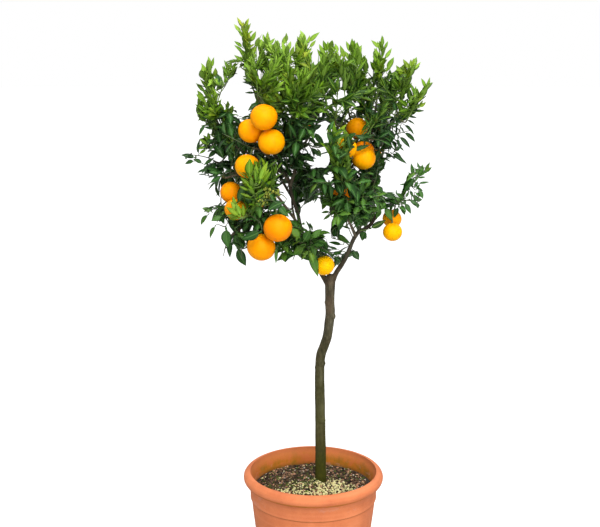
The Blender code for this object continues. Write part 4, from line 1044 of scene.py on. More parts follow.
def arc(centre, radius, start, end, steps):
    """Points on an arc; angles in degrees from +Z towards the outside."""
    points = []
    for i in range(steps + 1):
        turn = math.radians(start + (end - start) * i / steps)
        points.append((centre[0] + radius * math.sin(turn), centre[1] + radius * math.cos(turn)))
    return points


def pot_profile():
    collar_top = POT_HEIGHT - RIM_TALL
    collar_low = collar_top - COLLAR_TALL
    half = RIM_TALL / 2
    lip = (RIM_RADIUS - half, POT_HEIGHT - half)
    wall_steps = [FLOOR + (collar_top - FLOOR) * i / 8 for i in range(1, 9)]
    profile = [(0.0, FLOOR), (inner_wall(FLOOR) - 0.004, FLOOR), (inner_wall(FLOOR), FLOOR + 0.003)]
    profile += [(inner_wall(height), height) for height in wall_steps]
    profile += [(MOUTH_RADIUS - 0.004, POT_HEIGHT - 0.016), (MOUTH_RADIUS - 0.001, POT_HEIGHT - 0.008)]
    profile += arc(lip, half, -8, 158, 16)
    profile += [(COLLAR_RADIUS + 0.0016, collar_top - 0.0008), (COLLAR_RADIUS, collar_top - 0.004)]
    profile += [(COLLAR_RADIUS - 0.0005, collar_top - 0.02), (COLLAR_RADIUS - 0.0015, collar_low + 0.006)]
    profile += [(COLLAR_RADIUS - 0.0010, collar_low + 0.003), (COLLAR_RADIUS - 0.0022, collar_low)]
    profile += [(BODY_RADIUS - 0.0002, collar_low - 0.0015), (BODY_RADIUS - 0.0004, collar_low - 0.006)]
    for i in range(1, 8):
        share = i / 8
        profile.append((BODY_RADIUS + (BASE_RADIUS - BODY_RADIUS) * share, (collar_low - 0.006) * (1 - share)))
    profile += [(BASE_RADIUS + 0.0008, 0.005), (BASE_RADIUS - 0.001, 0.0015), (BASE_RADIUS - 0.004, 0.0), (0.0, 0.0)]
    return profile


def evaluated_mesh(thing):
    graph = bpy.context.evaluated_depsgraph_get()
    graph.update()
    return bpy.data.meshes.new_from_object(thing.evaluated_get(graph))


def make_pot():
    profile = pot_profile()
    edges = [(i, i + 1) for i in range(len(profile) - 1)]
    mesh = bpy.data.meshes.new("pot_body")
    mesh.from_pydata([(radius, 0.0, height) for radius, height in profile], edges, [])
    pot = add_object("pot_body", mesh)
    screw = pot.modifiers.new("turn", "SCREW")
    screw.steps = POT_SIDES
    screw.render_steps = POT_SIDES
    screw.use_merge_vertices = True
    screw.merge_threshold = 0.0001
    cutter_shape = bmesh.new()
    for i in range(DRAIN_HOLES):
        turn = math.radians(45 + 360 * i / DRAIN_HOLES)
        place = Matrix.Translation((DRAIN_CIRCLE * math.cos(turn), DRAIN_CIRCLE * math.sin(turn), FLOOR / 2))
        bmesh.ops.create_cone(
            cutter_shape, cap_ends=True, segments=24, radius1=DRAIN_RADIUS, radius2=DRAIN_RADIUS,
            depth=3 * FLOOR, matrix=place,
        )
    cutter_mesh = bpy.data.meshes.new("drain_cutter")
    cutter_shape.to_mesh(cutter_mesh)
    cutter_shape.free()
    cutter = add_object("drain_cutter", cutter_mesh)
    cut = pot.modifiers.new("drain", "BOOLEAN")
    cut.operation = "DIFFERENCE"
    cut.object = cutter
    mesh = evaluated_mesh(pot)
    pot.modifiers.clear()
    pot.data = mesh
    bpy.data.objects.remove(cutter, do_unlink=True)
    for vertex in mesh.vertices:
        if vertex.co.z > FLOOR:
            wobble = noise.noise(Vector((vertex.co.x * 7, vertex.co.y * 7, vertex.co.z * 18)))
            swell = 1 + 0.0022 * wobble
            vertex.co.x *= swell
            vertex.co.y *= swell
    mesh.materials.append(terracotta())
    mesh.shade_smooth()
    mesh.set_sharp_from_angle(angle=math.radians(50))
    return placed(pot, "terracotta", "pot")


# Soil


def soil_top(x, y):
    out = math.hypot(x, y) / inner_wall(SOIL_EDGE)
    mound = SOIL_CROWN * (1 - min(out, 1.0) ** 2)
    lumps = math.sin(61 * x + 1.3) * math.cos(53 * y - 0.4) + 0.6 * math.sin(97 * x - 71 * y)
    return SOIL_EDGE + mound + SOIL_BUMP * lumps * max(0.0, 1 - out ** 4)


def soil_surface(x, y):
    """The soil's top with its clods and crumbs, which fade out at the pot's wall."""
    fade = max(0.0, 1 - (math.hypot(x, y) / inner_wall(SOIL_EDGE)) ** 8)
    clods = 0.0042 * noise.noise(Vector((x * 48, y * 48, 0.0)))
    crumbs = 0.0034 * noise.noise(Vector((x * 130, y * 130, 3.0))) + 0.0014 * noise.noise(Vector((x * 320, y * 320, 7.0)))
    return soil_top(x, y) + (clods + crumbs) * fade


def speckled(name, dark, light, scale, roughness=0.9, depth=0.6):
    """A grainy material whose colour wanders between two tones."""
    material, tree, shader = material_nodes(name)
    tint = add_node(tree, "ShaderNodeAttribute", attribute_name="tint")
    spots = noise_at(tree, scale, 5.0, 0.7)
    base = mix(tree, tint.outputs["Fac"], dark, light)
    base = mix(tree, depth, base, ramp(tree, spots, [(0.35, grey(0.35)), (0.65, grey(1.0))]), "MULTIPLY")
    tree.links.new(base, shader.inputs["Base Color"])
    shader.inputs["Roughness"].default_value = roughness
    shader.inputs["Specular IOR Level"].default_value = 0.2
    bump(tree, shader, spots, 0.5, 0.0008)
    return material


def make_soil():
    """The bed follows the pot's wall and hides the pot's inside; chips, stones and granules lie on it."""
    edge = inner_wall(SOIL_EDGE) - GAP
    rings, sides = 80, 200
    points, faces = [(0.0, 0.0, soil_surface(0.0, 0.0))], []
    for i in range(1, rings + 1):
        radius = edge * i / rings
        for k in range(sides):
            turn = 2 * math.pi * k / sides
            x, y = radius * math.cos(turn), radius * math.sin(turn)
            points.append((x, y, soil_surface(x, y)))
    bottom_radius = inner_wall(FLOOR + GAP) - GAP
    for k in range(sides):
        turn = 2 * math.pi * k / sides
        points.append((bottom_radius * math.cos(turn), bottom_radius * math.sin(turn), FLOOR + GAP))
    for k in range(sides):
        faces.append((0, 1 + k, 1 + (k + 1) % sides))
    for i in range(rings):
        for k in range(sides):
            inner, outer = 1 + i * sides, 1 + (i + 1) * sides
            after = (k + 1) % sides
            faces.append((inner + k, outer + k, outer + after, inner + after))
    faces.append(tuple(1 + rings * sides + k for k in range(sides))[::-1])
    mesh = bpy.data.meshes.new("soil_bed")
    mesh.from_pydata(points, [], faces)
    mesh.shade_smooth()
    material, tree, shader = material_nodes("soil")
    crumbs = noise_at(tree, 120.0, 6.0, 0.7)
    base = ramp(tree, crumbs, [
        (0.34, (0.004, 0.003, 0.002)), (0.50, (0.022, 0.016, 0.010)), (0.62, (0.070, 0.048, 0.030)),
        (0.76, (0.20, 0.14, 0.10)),
    ])
    tree.links.new(base, shader.inputs["Base Color"])
    shader.inputs["Roughness"].default_value = 0.95
    bump(tree, shader, crumbs, 0.8, 0.002)
    placed(add_object("soil_bed", mesh, material), "soil", "soil")


def chip(draw, long, wide, high):
    """An uneven little block of soil, bark or stone: a jittered cube with its corners cut in."""
    points = []
    for x in (-1, 1):
        for y in (-1, 1):
            for z in (-1, 1):
                points.append(Vector((
                    0.5 * long * x * draw.uniform(0.55, 1.0), 0.5 * wide * y * draw.uniform(0.55, 1.0),
                    0.5 * high * z * draw.uniform(0.55, 1.0),
                )))
    points += [Vector((0.62 * long * s, 0, 0)) for s in (-1, 1)]
    faces = [
        (0, 2, 3, 1), (4, 5, 7, 6), (0, 1, 5, 4), (2, 6, 7, 3), (0, 4, 6, 2), (1, 3, 7, 5),
    ]
    faces = faces[2:] + [(0, 2, 8), (2, 3, 8), (3, 1, 8), (1, 0, 8), (4, 5, 9), (5, 7, 9), (7, 6, 9), (6, 4, 9)]
    return points, faces


def scatter_chips(name, material, slot, seed, count, sizes, sunk, near=None):
    """Chips on the soil. near weights the places: a function of x and y that gives 0 to 1."""
    draw = random.Random(seed)
    builder = Builder()
    limit = inner_wall(SOIL_EDGE) - 0.004
    made = 0
    while made < count:
        x, y = draw.uniform(-limit, limit), draw.uniform(-limit, limit)
        keep = draw.random()
        if math.hypot(x, y) > limit - sizes[1] or math.hypot(x - TRUNK_FOOT_X, y) < TRUNK_RADII[0] + 0.002:
            continue
        if near is not None and keep > near(x, y):
            continue
        size = draw.uniform(*sizes)
        points, faces = chip(draw, size, size * draw.uniform(0.5, 0.9), size * draw.uniform(0.35, 0.7))
        turn = Matrix.Rotation(draw.uniform(0, 2 * math.pi), 3, "Z")
        lean = Matrix.Rotation(draw.uniform(-0.6, 0.6), 3, "X")
        centre = Vector((x, y, soil_surface(x, y) + size * sunk))
        points = [tuple(centre + turn @ lean @ point) for point in points]
        builder.add(points, faces, tint=draw.random())
        made += 1
    thing = builder.build(name, [material])
    thing.data.shade_flat()
    return placed(thing, slot)


def granule_place(x, y):
    """Fertiliser lies thickest in front of the trunk and to its right, with a few trails to the left."""
    thick = 0.006
    for centre_x, centre_y, half_x, half_y, share in GRANULE_PATCHES:
        thick += share * math.exp(-((x - centre_x) / half_x) ** 2 - ((y - centre_y) / half_y) ** 2)
    return min(1.0, thick)


def make_granules():
    draw = random.Random(31)
    material = speckled("granule", (0.50, 0.44, 0.16), (0.75, 0.70, 0.39), 240.0, 0.6, 0.25)
    ball = bmesh.new()
    bmesh.ops.create_icosphere(ball, subdivisions=2, radius=1.0)
    unit = np.array([vertex.co[:] for vertex in ball.verts])
    faces = [tuple(vertex.index for vertex in face.verts) for face in ball.faces]
    ball.free()
    builder = Builder()
    limit = inner_wall(SOIL_EDGE) - 0.006
    made = 0
    while made < GRANULE_COUNT:
        x, y = draw.uniform(-limit, limit), draw.uniform(-limit, limit)
        keep = draw.random()
        if math.hypot(x, y) > limit or math.hypot(x - TRUNK_FOOT_X, y) < TRUNK_RADII[0] + 0.003:
            continue
        if keep > granule_place(x, y):
            continue
        size = draw.uniform(0.0015, 0.0025)
        stretch = np.array([draw.uniform(0.85, 1.15), draw.uniform(0.85, 1.15), draw.uniform(0.8, 1.0)])
        centre = np.array([x, y, soil_surface(x, y) + size * draw.uniform(0.3, 1.3)])
        builder.add(unit * size * stretch + centre, faces, tint=draw.random())
        made += 1
    placed(builder.build("fertiliser_granules", [material]), "soil")


def mossy_place(x, y):
    """Moss grows in front of the trunk and to its left."""
    return 0.15 + 0.85 * math.exp(-((x + 0.035) / 0.060) ** 2 - ((y + 0.020) / 0.045) ** 2)


def make_soil_bits():
    crumb = speckled("crumb", (0.005, 0.003, 0.002), (0.105, 0.062, 0.032), 300.0)
    bark_chip = speckled("bark_chip", (0.055, 0.029, 0.016), (0.52, 0.28, 0.16), 260.0)
    stone = speckled("pale_grit", (0.34, 0.25, 0.19), (0.80, 0.68, 0.54), 300.0, 0.9, 0.4)
    green = speckled("mossy_crumb", (0.010, 0.022, 0.004), (0.10, 0.14, 0.02), 200.0)
    scatter_chips("soil_crumbs", crumb, "soil", 11, 2400, (0.003, 0.010), 0.14)
    scatter_chips("bark_chips", bark_chip, "soil", 12, 760, (0.003, 0.0095), 0.20)
    scatter_chips("pale_grit", stone, "soil", 13, 620, (0.002, 0.0055), 0.22)
    scatter_chips("mossy_crumbs", green, "soil", 14, 700, (0.003, 0.009), 0.20, mossy_place)
    make_granules()


# Wood


def bark():
    material, tree, shader = material_nodes("bark")
    fissures = noise_at(tree, 55.0, 6.0, 0.65, (1, 1, 0.22))
    patches = noise_at(tree, 16.0, 4.0, 0.6)
    mottles = noise_at(tree, 130.0, 3.0, 0.6, (1, 1, 0.6))
    base = ramp(tree, fissures, [
        (0.30, (0.015, 0.013, 0.007)), (0.50, (0.060, 0.052, 0.029)), (0.68, (0.132, 0.117, 0.075)),
    ])
    pale = ramp(tree, patches, [(0.50, grey(0.0)), (0.72, grey(0.5))])
    base = mix(tree, pale, base, (0.150, 0.142, 0.108))
    brown = ramp(tree, patches, [(0.34, grey(0.45)), (0.48, grey(0.0))])
    base = mix(tree, brown, base, (0.106, 0.068, 0.043))
    green = ramp(tree, height_at(tree, 0.80, 0.36), [(0.0, grey(0.0)), (0.5, grey(0.50)), (0.85, grey(0.72)), (1.0, grey(0.95))])
    base = mix(tree, green, base, mix(tree, patches, (0.014, 0.017, 0.001), (0.066, 0.066, 0.003)))
    base = mix(tree, 0.45, base, ramp(tree, mottles, [(0.35, grey(0.35)), (0.60, grey(1.0))]), "MULTIPLY")
    # Painted shade: the bark darkens from 0.9 m up, where the wood runs into the crown's shade
    painted_crown_shade = ramp(tree, height_at(tree, 0.90, 1.00), [(0.0, grey(0.0)), (1.0, grey(0.60))])
    base = mix(tree, painted_crown_shade, base, (0.036, 0.028, 0.022))
    tree.links.new(base, shader.inputs["Base Color"])
    shader.inputs["Roughness"].default_value = 0.82
    shader.inputs["Specular IOR Level"].default_value = 0.12
    bump(tree, shader, fissures, 0.8, 0.0016)
    return material


def twig_bark():
    material, tree, shader = material_nodes("twig_bark")
    streaks = noise_at(tree, 90.0, 5.0, 0.6, (1, 1, 0.3))
    base = ramp(tree, streaks, [(0.35, (0.035, 0.030, 0.015)), (0.65, (0.115, 0.085, 0.045))])
    young = ramp(tree, height_at(tree, 1.25, 1.50), [(0.0, grey(0.0)), (1.0, grey(0.8))])
    base = mix(tree, young, base, (0.10, 0.15, 0.03))
    tree.links.new(base, shader.inputs["Base Color"])
    shader.inputs["Roughness"].default_value = 0.65
    bump(tree, shader, streaks, 0.4, 0.0006)
    return material


def trunk_radius(share):
    """The trunk flares at the soil and swells a little at the fork."""
    flare = 0.0016 * math.exp(-((share - 0.10) / 0.03) ** 2) + 0.002 * max(0.0, 0.10 - share) / 0.10
    fork = 0.0012 * math.exp(-((share - 1.0) / 0.04) ** 2)
    return TRUNK_RADII[0] + (TRUNK_RADII[1] - TRUNK_RADII[0]) * min(1.0, share * 1.5) + flare + fork


def make_wood():
    """Trunk and limbs are skinned as one body, so that the forks flow; arms and twigs start inside them."""
    bottom = soil_top(TRUNK_FOOT_X, 0.0) - TRUNK_DEPTH
    trunk = [Vector((TRUNK_FOOT_X, 0.0, bottom)), *smooth_route(TRUNK, 6)]
    builder = Builder()
    builder.tube(trunk, trunk_radius, 24)
    for name in LIMBS:
        thick, thin, _ = BRANCHES[name]
        slim = LIMB_SLIM[name]
        builder.tube(branch_route(name, 5), (thick * slim, thin * slim), 16)
    body = builder.build("trunk_and_limbs", [bark()])
    shape = bmesh.new()
    shape.from_mesh(body.data)
    for centre, radius in TRUNK_KNOBS:
        bmesh.ops.create_icosphere(shape, subdivisions=3, radius=radius, matrix=Matrix.Translation(centre))
    shape.to_mesh(body.data)
    shape.free()
    remesh = body.modifiers.new("skin", "REMESH")
    remesh.mode = "VOXEL"
    remesh.voxel_size = LIMB_VOXEL
    smooth = body.modifiers.new("smooth", "SMOOTH")
    smooth.factor = 0.6
    smooth.iterations = 5
    mesh = evaluated_mesh(body)
    body.modifiers.clear()
    body.data = mesh
    mesh.calc_loop_triangles()
    normals = [vertex.normal.copy() for vertex in mesh.vertices]
    for vertex, normal in zip(mesh.vertices, normals):
        place = vertex.co
        ridges = noise.noise(Vector((place.x * 160, place.y * 160, place.z * 34)))
        lumps = noise.noise(Vector((place.x * 40, place.y * 40, place.z * 22)))
        swell = SKIN_SWELL * (1.0 - 0.8 * min(1.0, max(0.0, (place.z - 0.90) / 0.04)))
        vertex.co = place + normal * (swell + 0.00045 * ridges + 0.0007 * lumps)
    if not mesh.materials:
        mesh.materials.append(bpy.data.materials["bark"])
    mesh.shade_smooth()
    placed(body, "bark", "wood")

    arms = Builder()
    for name, (thick, thin, _) in BRANCHES.items():
        if name not in LIMBS:
            arms.tube(branch_route(name, 8), (thick, thin), 12, lumps=0.0006)
    for parent, foot, tip, habit in SHOOTS:
        arms.tube(twig_route(parent, foot, tip, habit), TWIG_RADII, 8, lumps=0.0003)
    placed(arms.build("arms_and_twigs", [twig_bark()]), "bark")
    stalks = Builder()
    for number in range(len(FRUITS)):
        stalks.tube(stalk_route(number), (STALK_RADIUS * 0.9, STALK_RADIUS * 1.25), 8, lumps=0.0003)
    placed(stalks.build("fruit_stalks", [stalk_green()]), "bark")


def stalk_green():
    material, tree, shader = material_nodes("stalk_green")
    streaks = noise_at(tree, 150.0, 4.0, 0.6)
    tree.links.new(
        ramp(tree, streaks, [(0.3, (0.035, 0.055, 0.012)), (0.7, (0.11, 0.14, 0.035))]), shader.inputs["Base Color"]
    )
    shader.inputs["Roughness"].default_value = 0.6
    return material


# Fruit


def peel():
    material, tree, shader = material_nodes("peel")
    blotch = noise_at(tree, 24.0, 4.0, 0.6)
    tint = add_node(tree, "ShaderNodeAttribute", attribute_name="tint")
    # Orange to yellow by the tint, which holds each fruit's ripeness and painted light on fruits in shade
    base = mix(tree, tint.outputs["Fac"], (0.80, 0.195, 0.0002), (0.88, 0.465, 0.0006))
    base = mix(tree, 1.0, base, ramp(tree, blotch, [(0.30, (0.92, 0.80, 0.6)), (0.52, grey(1.0)), (0.72, (1.0, 1.15, 1.6))]), "MULTIPLY")
    where = tree.nodes.new("ShaderNodeTexCoord")
    pores = add_node(tree, "ShaderNodeTexVoronoi", Scale=520.0)
    tree.links.new(where.outputs["Object"], pores.inputs["Vector"])
    dots = ramp(tree, pores.outputs["Distance"], [(0.05, grey(0.0)), (0.38, grey(1.0))])
    base = mix(tree, 0.16, base, mix(tree, dots, grey(0.0), base))
    tree.links.new(base, shader.inputs["Base Color"])
    tree.links.new(ramp(tree, blotch, [(0.3, grey(0.36)), (0.7, grey(0.46))]), shader.inputs["Roughness"])
    shader.inputs["Specular IOR Level"].default_value = 0.045
    shader.inputs["Subsurface Weight"].default_value = 0.10
    shader.inputs["Subsurface Radius"].default_value = (0.006, 0.002, 0.0006)
    bump(tree, shader, dots, 0.35, 0.0005)
    return material


def make_fruit(number, material, calyx_material):
    """An orange: slightly flattened, pinched at the stalk, with a small star of sepals there."""
    centre, radius, _ = FRUITS[number]
    draw = random.Random(f"fruit {number}")
    axis = fruit_axis(number)
    turn = Vector((0, 0, 1)).rotation_difference(axis).to_matrix()
    spin = Matrix.Rotation(draw.uniform(0, 2 * math.pi), 3, "Z")
    shape = bmesh.new()
    bmesh.ops.create_uvsphere(shape, u_segments=48, v_segments=32, radius=1.0)
    for vertex in shape.verts:
        up = vertex.co.z
        out = math.hypot(vertex.co.x, vertex.co.y)
        dimple = 0.05 * math.exp(-(out / 0.16) ** 2) if up > 0 else 0.02 * math.exp(-(out / 0.10) ** 2)
        pleats = 0.008 * math.cos(8 * math.atan2(vertex.co.y, vertex.co.x)) * math.exp(-(out / 0.35) ** 2)
        lumps = 0.014 * noise.noise(vertex.co * 1.7 + Vector((number * 3.1, 0, 0)))
        swell = 1 - dimple + (pleats if up > 0 else 0.0) + lumps
        vertex.co = Vector((vertex.co.x, vertex.co.y, vertex.co.z * FRUIT_OBLATE)) * swell * radius
    bmesh.ops.transform(shape, matrix=(turn @ spin).to_4x4(), verts=shape.verts)
    bmesh.ops.translate(shape, vec=centre, verts=shape.verts)
    mesh = bpy.data.meshes.new("peel")
    shape.to_mesh(mesh)
    shape.free()
    mesh.shade_smooth()
    attribute = mesh.attributes.new("tint", "FLOAT", "POINT")
    # The tint holds each fruit's yellowness, partly painted light
    attribute.data.foreach_set("value", [FRUIT_YELLOW_AND_PAINTED_LIGHT[number]] * len(mesh.vertices))
    label = f"orange_{number + 1:02d}"
    placed(add_object(f"{label}_peel", mesh, material), "peel", label)
    make_calyx(f"{label}_calyx", centre, radius, turn, draw, calyx_material)


def make_calyx(name, centre, radius, turn, draw, material):
    """Five short sepals on a disc, lying in the dimple round the stalk."""
    shape = bmesh.new()
    steps = 40
    outline = []
    for i in range(steps):
        angle = 2 * math.pi * i / steps
        out = 0.0040 + 0.0019 * abs(math.cos(2.5 * angle)) ** 1.5 + draw.uniform(-0.0002, 0.0002)
        outline.append((out * math.cos(angle), out * math.sin(angle)))
    base = radius * FRUIT_OBLATE * 0.952
    rings = []
    for share, lift in ((1.0, 0.0010), (0.72, 0.0020), (0.45, 0.0030), (0.42, 0.0044)):
        rings.append([shape.verts.new((x * share, y * share, base + lift)) for x, y in outline])
    under = [shape.verts.new((x * 0.9, y * 0.9, base - 0.0012)) for x, y in outline]
    for lower, upper in zip([under, *rings], rings):
        for i in range(steps):
            after = (i + 1) % steps
            shape.faces.new((lower[i], lower[after], upper[after], upper[i]))
    shape.faces.new(rings[-1])
    shape.faces.new(under[::-1])
    bmesh.ops.transform(shape, matrix=turn.to_4x4(), verts=shape.verts)
    bmesh.ops.translate(shape, vec=centre, verts=shape.verts)
    mesh = bpy.data.meshes.new("calyx")
    shape.to_mesh(mesh)
    shape.free()
    mesh.shade_smooth()
    placed(add_object(name, mesh, material), "peel")


# Leaves


def blade_breadth(share):
    """Half breadth of the blade, 1 at its broadest: pointed at the tip, rounder at the base."""
    return 3.35 * share ** 0.68 * (1 - share) ** 1.15


def leaf_template(habit, number, columns, arch=None):
    """A leaf of unit length along +Y with its upper side to +Z: a winged stalk, then a folded blade."""
    draw = random.Random(f"{habit} {number}")
    low, high = HABITS[habit]["arch"]
    arch = draw.uniform(low, high) if arch is None else arch
    fold = draw.uniform(*HABITS[habit]["fold"])
    twist = draw.uniform(-0.5, 0.5)
    wave = draw.uniform(0.0, 0.10)
    waves = draw.uniform(2.0, 3.5)
    bow = draw.uniform(-0.10, 0.10)
    breadth = 0.5 * HABITS[habit]["width"] * draw.uniform(0.9, 1.1)
    stem = PETIOLE_SHARE
    shares = [0.0, 0.05, 0.10, stem, 0.19, 0.27, 0.38, 0.50, 0.62, 0.74, 0.85, 0.94]
    if columns == PLAIN_COLUMNS:
        shares = [0.0, 0.08, stem, 0.24, 0.40, 0.58, 0.76, 0.92]
    half_columns = columns // 2
    points, uvs, unders = [], [], []
    place = Vector((0, 0, 0))
    before = 0.0
    rows = []
    for share in shares + [1.0]:
        pitch = -arch * share ** 1.3
        step = share - before
        place = place + Vector((0, math.cos(pitch), math.sin(pitch))) * step
        before = share
        ahead = Vector((0, math.cos(pitch), math.sin(pitch)))
        up = Vector((0, -math.sin(pitch), math.cos(pitch)))
        turn = Matrix.Rotation(twist * share, 3, ahead)
        side = turn @ Vector((1, 0, 0))
        up = turn @ up
        if share < stem:
            half = 0.020 + 0.040 * math.sin(math.pi * share / stem) ** 1.5
        elif share == stem:
            half = 0.016
        else:
            half = breadth * blade_breadth((share - stem) / (1 - stem))
        middle = place + side * bow * math.sin(math.pi * share) * 0.5
        if share == 1.0:
            rows.append([len(points)])
            points.append(middle)
            uvs.append((1.0, 0.5))
            unders.append(0.0)
            break
        row = []
        for layer in (1, -1):
            for k in range(-half_columns, half_columns + 1):
                if layer < 0 and abs(k) == half_columns:
                    continue
                across = k / half_columns
                raised = fold * abs(across) * half * (1.15 - 0.30 * abs(across))
                ripple = wave * half * math.sin(2 * math.pi * waves * share + 1.7 * k) * across ** 2
                thick = 0.5 * LEAF_THICK * layer * (1 - abs(across) ** 2)
                if k == 0 and layer < 0:
                    thick *= 1.8
                row.append(len(points))
                points.append(middle + side * across * half + up * (raised + ripple + thick))
                uvs.append((share, 0.5 + 0.5 * across))
                unders.append(1.0 if layer < 0 else 0.0)
        rows.append(row)
    faces = []
    for near, far in zip(rows, rows[1:]):
        top_near, low_near = near[:columns], [near[0], *near[columns:], near[columns - 1]]
        if len(far) == 1:
            for i in range(columns - 1):
                faces.append((top_near[i], top_near[i + 1], far[0]))
                faces.append((low_near[i + 1], low_near[i], far[0]))
            continue
        top_far, low_far = far[:columns], [far[0], *far[columns:], far[columns - 1]]
        for i in range(columns - 1):
            faces.append((top_near[i], top_near[i + 1], top_far[i + 1], top_far[i]))
            faces.append((low_near[i + 1], low_near[i], low_far[i], low_far[i + 1]))
    first = rows[0]
    faces.append((*first[:columns][::-1], *first[columns:]))
    return np.array([point[:] for point in points]), faces, np.array(uvs), np.array(unders)


LEAF_SHAPES = {
    (habit, columns): [leaf_template(habit, number, columns) for number in range(TEMPLATES)]
    for habit in HABITS for columns in (FINE_COLUMNS, PLAIN_COLUMNS)
}
LEAF_SAMPLES = (0.25, 0.42, 0.60, 0.80)
FRUIT_CENTRES = np.array([fruit[0] for fruit in FRUITS])
FRUIT_RADII = np.array([fruit[1] for fruit in FRUITS])
OPENING_SHAPES = []
for corners in OPENINGS:
    centre = (sum(x for x, _ in corners) / len(corners), sum(y for _, y in corners) / len(corners))
    reach = max(math.hypot(x - centre[0], y - centre[1]) for x, y in corners)
    OPENING_SHAPES.append((centre, reach, corners))


def point_at(pixel, y):
    """The place at depth y that shows at a pixel of the photograph."""
    across = (pixel[0] - PHOTO_WIDTH / 2) / FOCAL_PIXELS
    up = (PHOTO_HEIGHT / 2 - pixel[1]) / FOCAL_PIXELS
    forward = math.cos(CAMERA_TILT) + up * math.sin(CAMERA_TILT)
    rise = up * math.cos(CAMERA_TILT) - math.sin(CAMERA_TILT)
    depth = (y + CAMERA_BACK) / forward
    return Vector((CAMERA_X + across * depth, y, CAMERA_HEIGHT + rise * depth))


def inside_outline(x, y, slack=0.0):
    """Whether a pixel, moved towards the crown's middle by the slack, lies in the crown's outline."""
    away = math.hypot(x - CROWN_MIDDLE[0], y - CROWN_MIDDLE[1])
    if away > abs(slack):
        x += (CROWN_MIDDLE[0] - x) * slack / away
        y += (CROWN_MIDDLE[1] - y) * slack / away
    return in_shape(x, y, OUTLINE)


def hides(x, y, depth_y):
    """Whether something at a pixel and a place in depth covers fruit or a limb that the photograph shows."""
    for centre_x, centre_y, reach, number in CLEAR_VIEWS:
        if math.hypot(x - centre_x, y - centre_y) < reach + CLEAR_EDGE and depth_y < FRUITS[number - 1][0][1]:
            return True
    for (x0, y0), (x1, y1), reach, limb_y in CLEAR_LIMBS:
        long = math.hypot(x1 - x0, y1 - y0)
        share = ((x - x0) * (x1 - x0) + (y - y0) * (y1 - y0)) / long ** 2
        aside = abs((x - x0) * (y1 - y0) - (y - y0) * (x1 - x0)) / long
        if 0 <= share <= 1 and aside < reach and depth_y < limb_y:
            return True
    return False


def in_shape(x, y, corners):
    """Whether a pixel lies in a closed shape given by its corners."""
    inside = False
    x0, y0 = corners[-1]
    for x1, y1 in corners:
        if (y0 > y) != (y1 > y) and x < (x1 - x0) * (y - y0) / (y1 - y0) + x0:
            inside = not inside
        x0, y0 = x1, y1
    return inside


def in_opening(x, y, larger=1.0):
    """Whether a pixel lies in an opening, whose area counts as larger or smaller by a factor."""
    scale = 1 / math.sqrt(larger)
    for (centre_x, centre_y), reach, corners in OPENING_SHAPES:
        across, down = x - centre_x, y - centre_y
        if math.hypot(across, down) * scale < reach:
            if in_shape(centre_x + across * scale, centre_y + down * scale, corners):
                return True
    return any(
        ((x - centre_x) / half_x) ** 2 + ((y - centre_y) / half_y) ** 2 < larger
        for centre_x, centre_y, half_x, half_y in PINHOLES
    )


def clear_of_fruit(points, room=0.0015):
    offsets = points[:, None, :] - FRUIT_CENTRES[None, :, :]
    return not (np.linalg.norm(offsets, axis=2) < FRUIT_RADII + room).any()


def leaf_fits(points, room):
    """A leaf may not enter a fruit, hide one that shows, fill an opening or leave the crown."""
    if not clear_of_fruit(points):
        return False
    low, high = CAD_BOX
    if (points < np.array(low) - BOX_MARGIN).any() or (points > np.array(high) + BOX_MARGIN).any():
        return False
    across, down, _ = seen_at(points)
    for x, y, place in zip(across, down, points):
        if in_opening(x, y, room[1]) or hides(x, y, place[1]):
            return False
    return all(inside_outline(x, y, room[0]) for x, y in zip(across[-3:], down[-3:]))


def route_fits(route):
    """A side stem keeps out of fruit, openings and the views kept clear."""
    points = np.array([point[:] for point in route])
    if not clear_of_fruit(points[1:], 0.002):
        return False
    across, down, _ = seen_at(points)
    if not all(inside_outline(x, y, STEM_SLACK) for x, y in zip(across, down)):
        return False
    return not any(in_opening(x, y) or hides(x, y, place[1]) for x, y, place in zip(across, down, points))


def pose_leaf(root, heading, normal, length, habit, columns, draw, room):
    """A leaf in its place, or None where it doesn't fit."""
    points, faces, uvs, unders = LEAF_SHAPES[(habit, columns)][draw.randrange(TEMPLATES)]
    side = heading.cross(normal).normalized()
    axes = np.array([side[:], heading[:], normal[:]])
    points = points * length @ axes + np.array(root[:])
    if room is not None:
        middle = points[columns // 2::2 * columns - 2]
        picks = [round(share * (len(middle) - 1)) for share in LEAF_SAMPLES]
        broad_rows = [pick * (2 * columns - 2) for pick in picks[1:3]]
        sides = points[[row + side for row in broad_rows for side in (0, columns - 1)]]
        if not leaf_fits(np.vstack([sides, middle[picks], points[-1:]]), room):
            return None
    return points, faces, uvs, unders


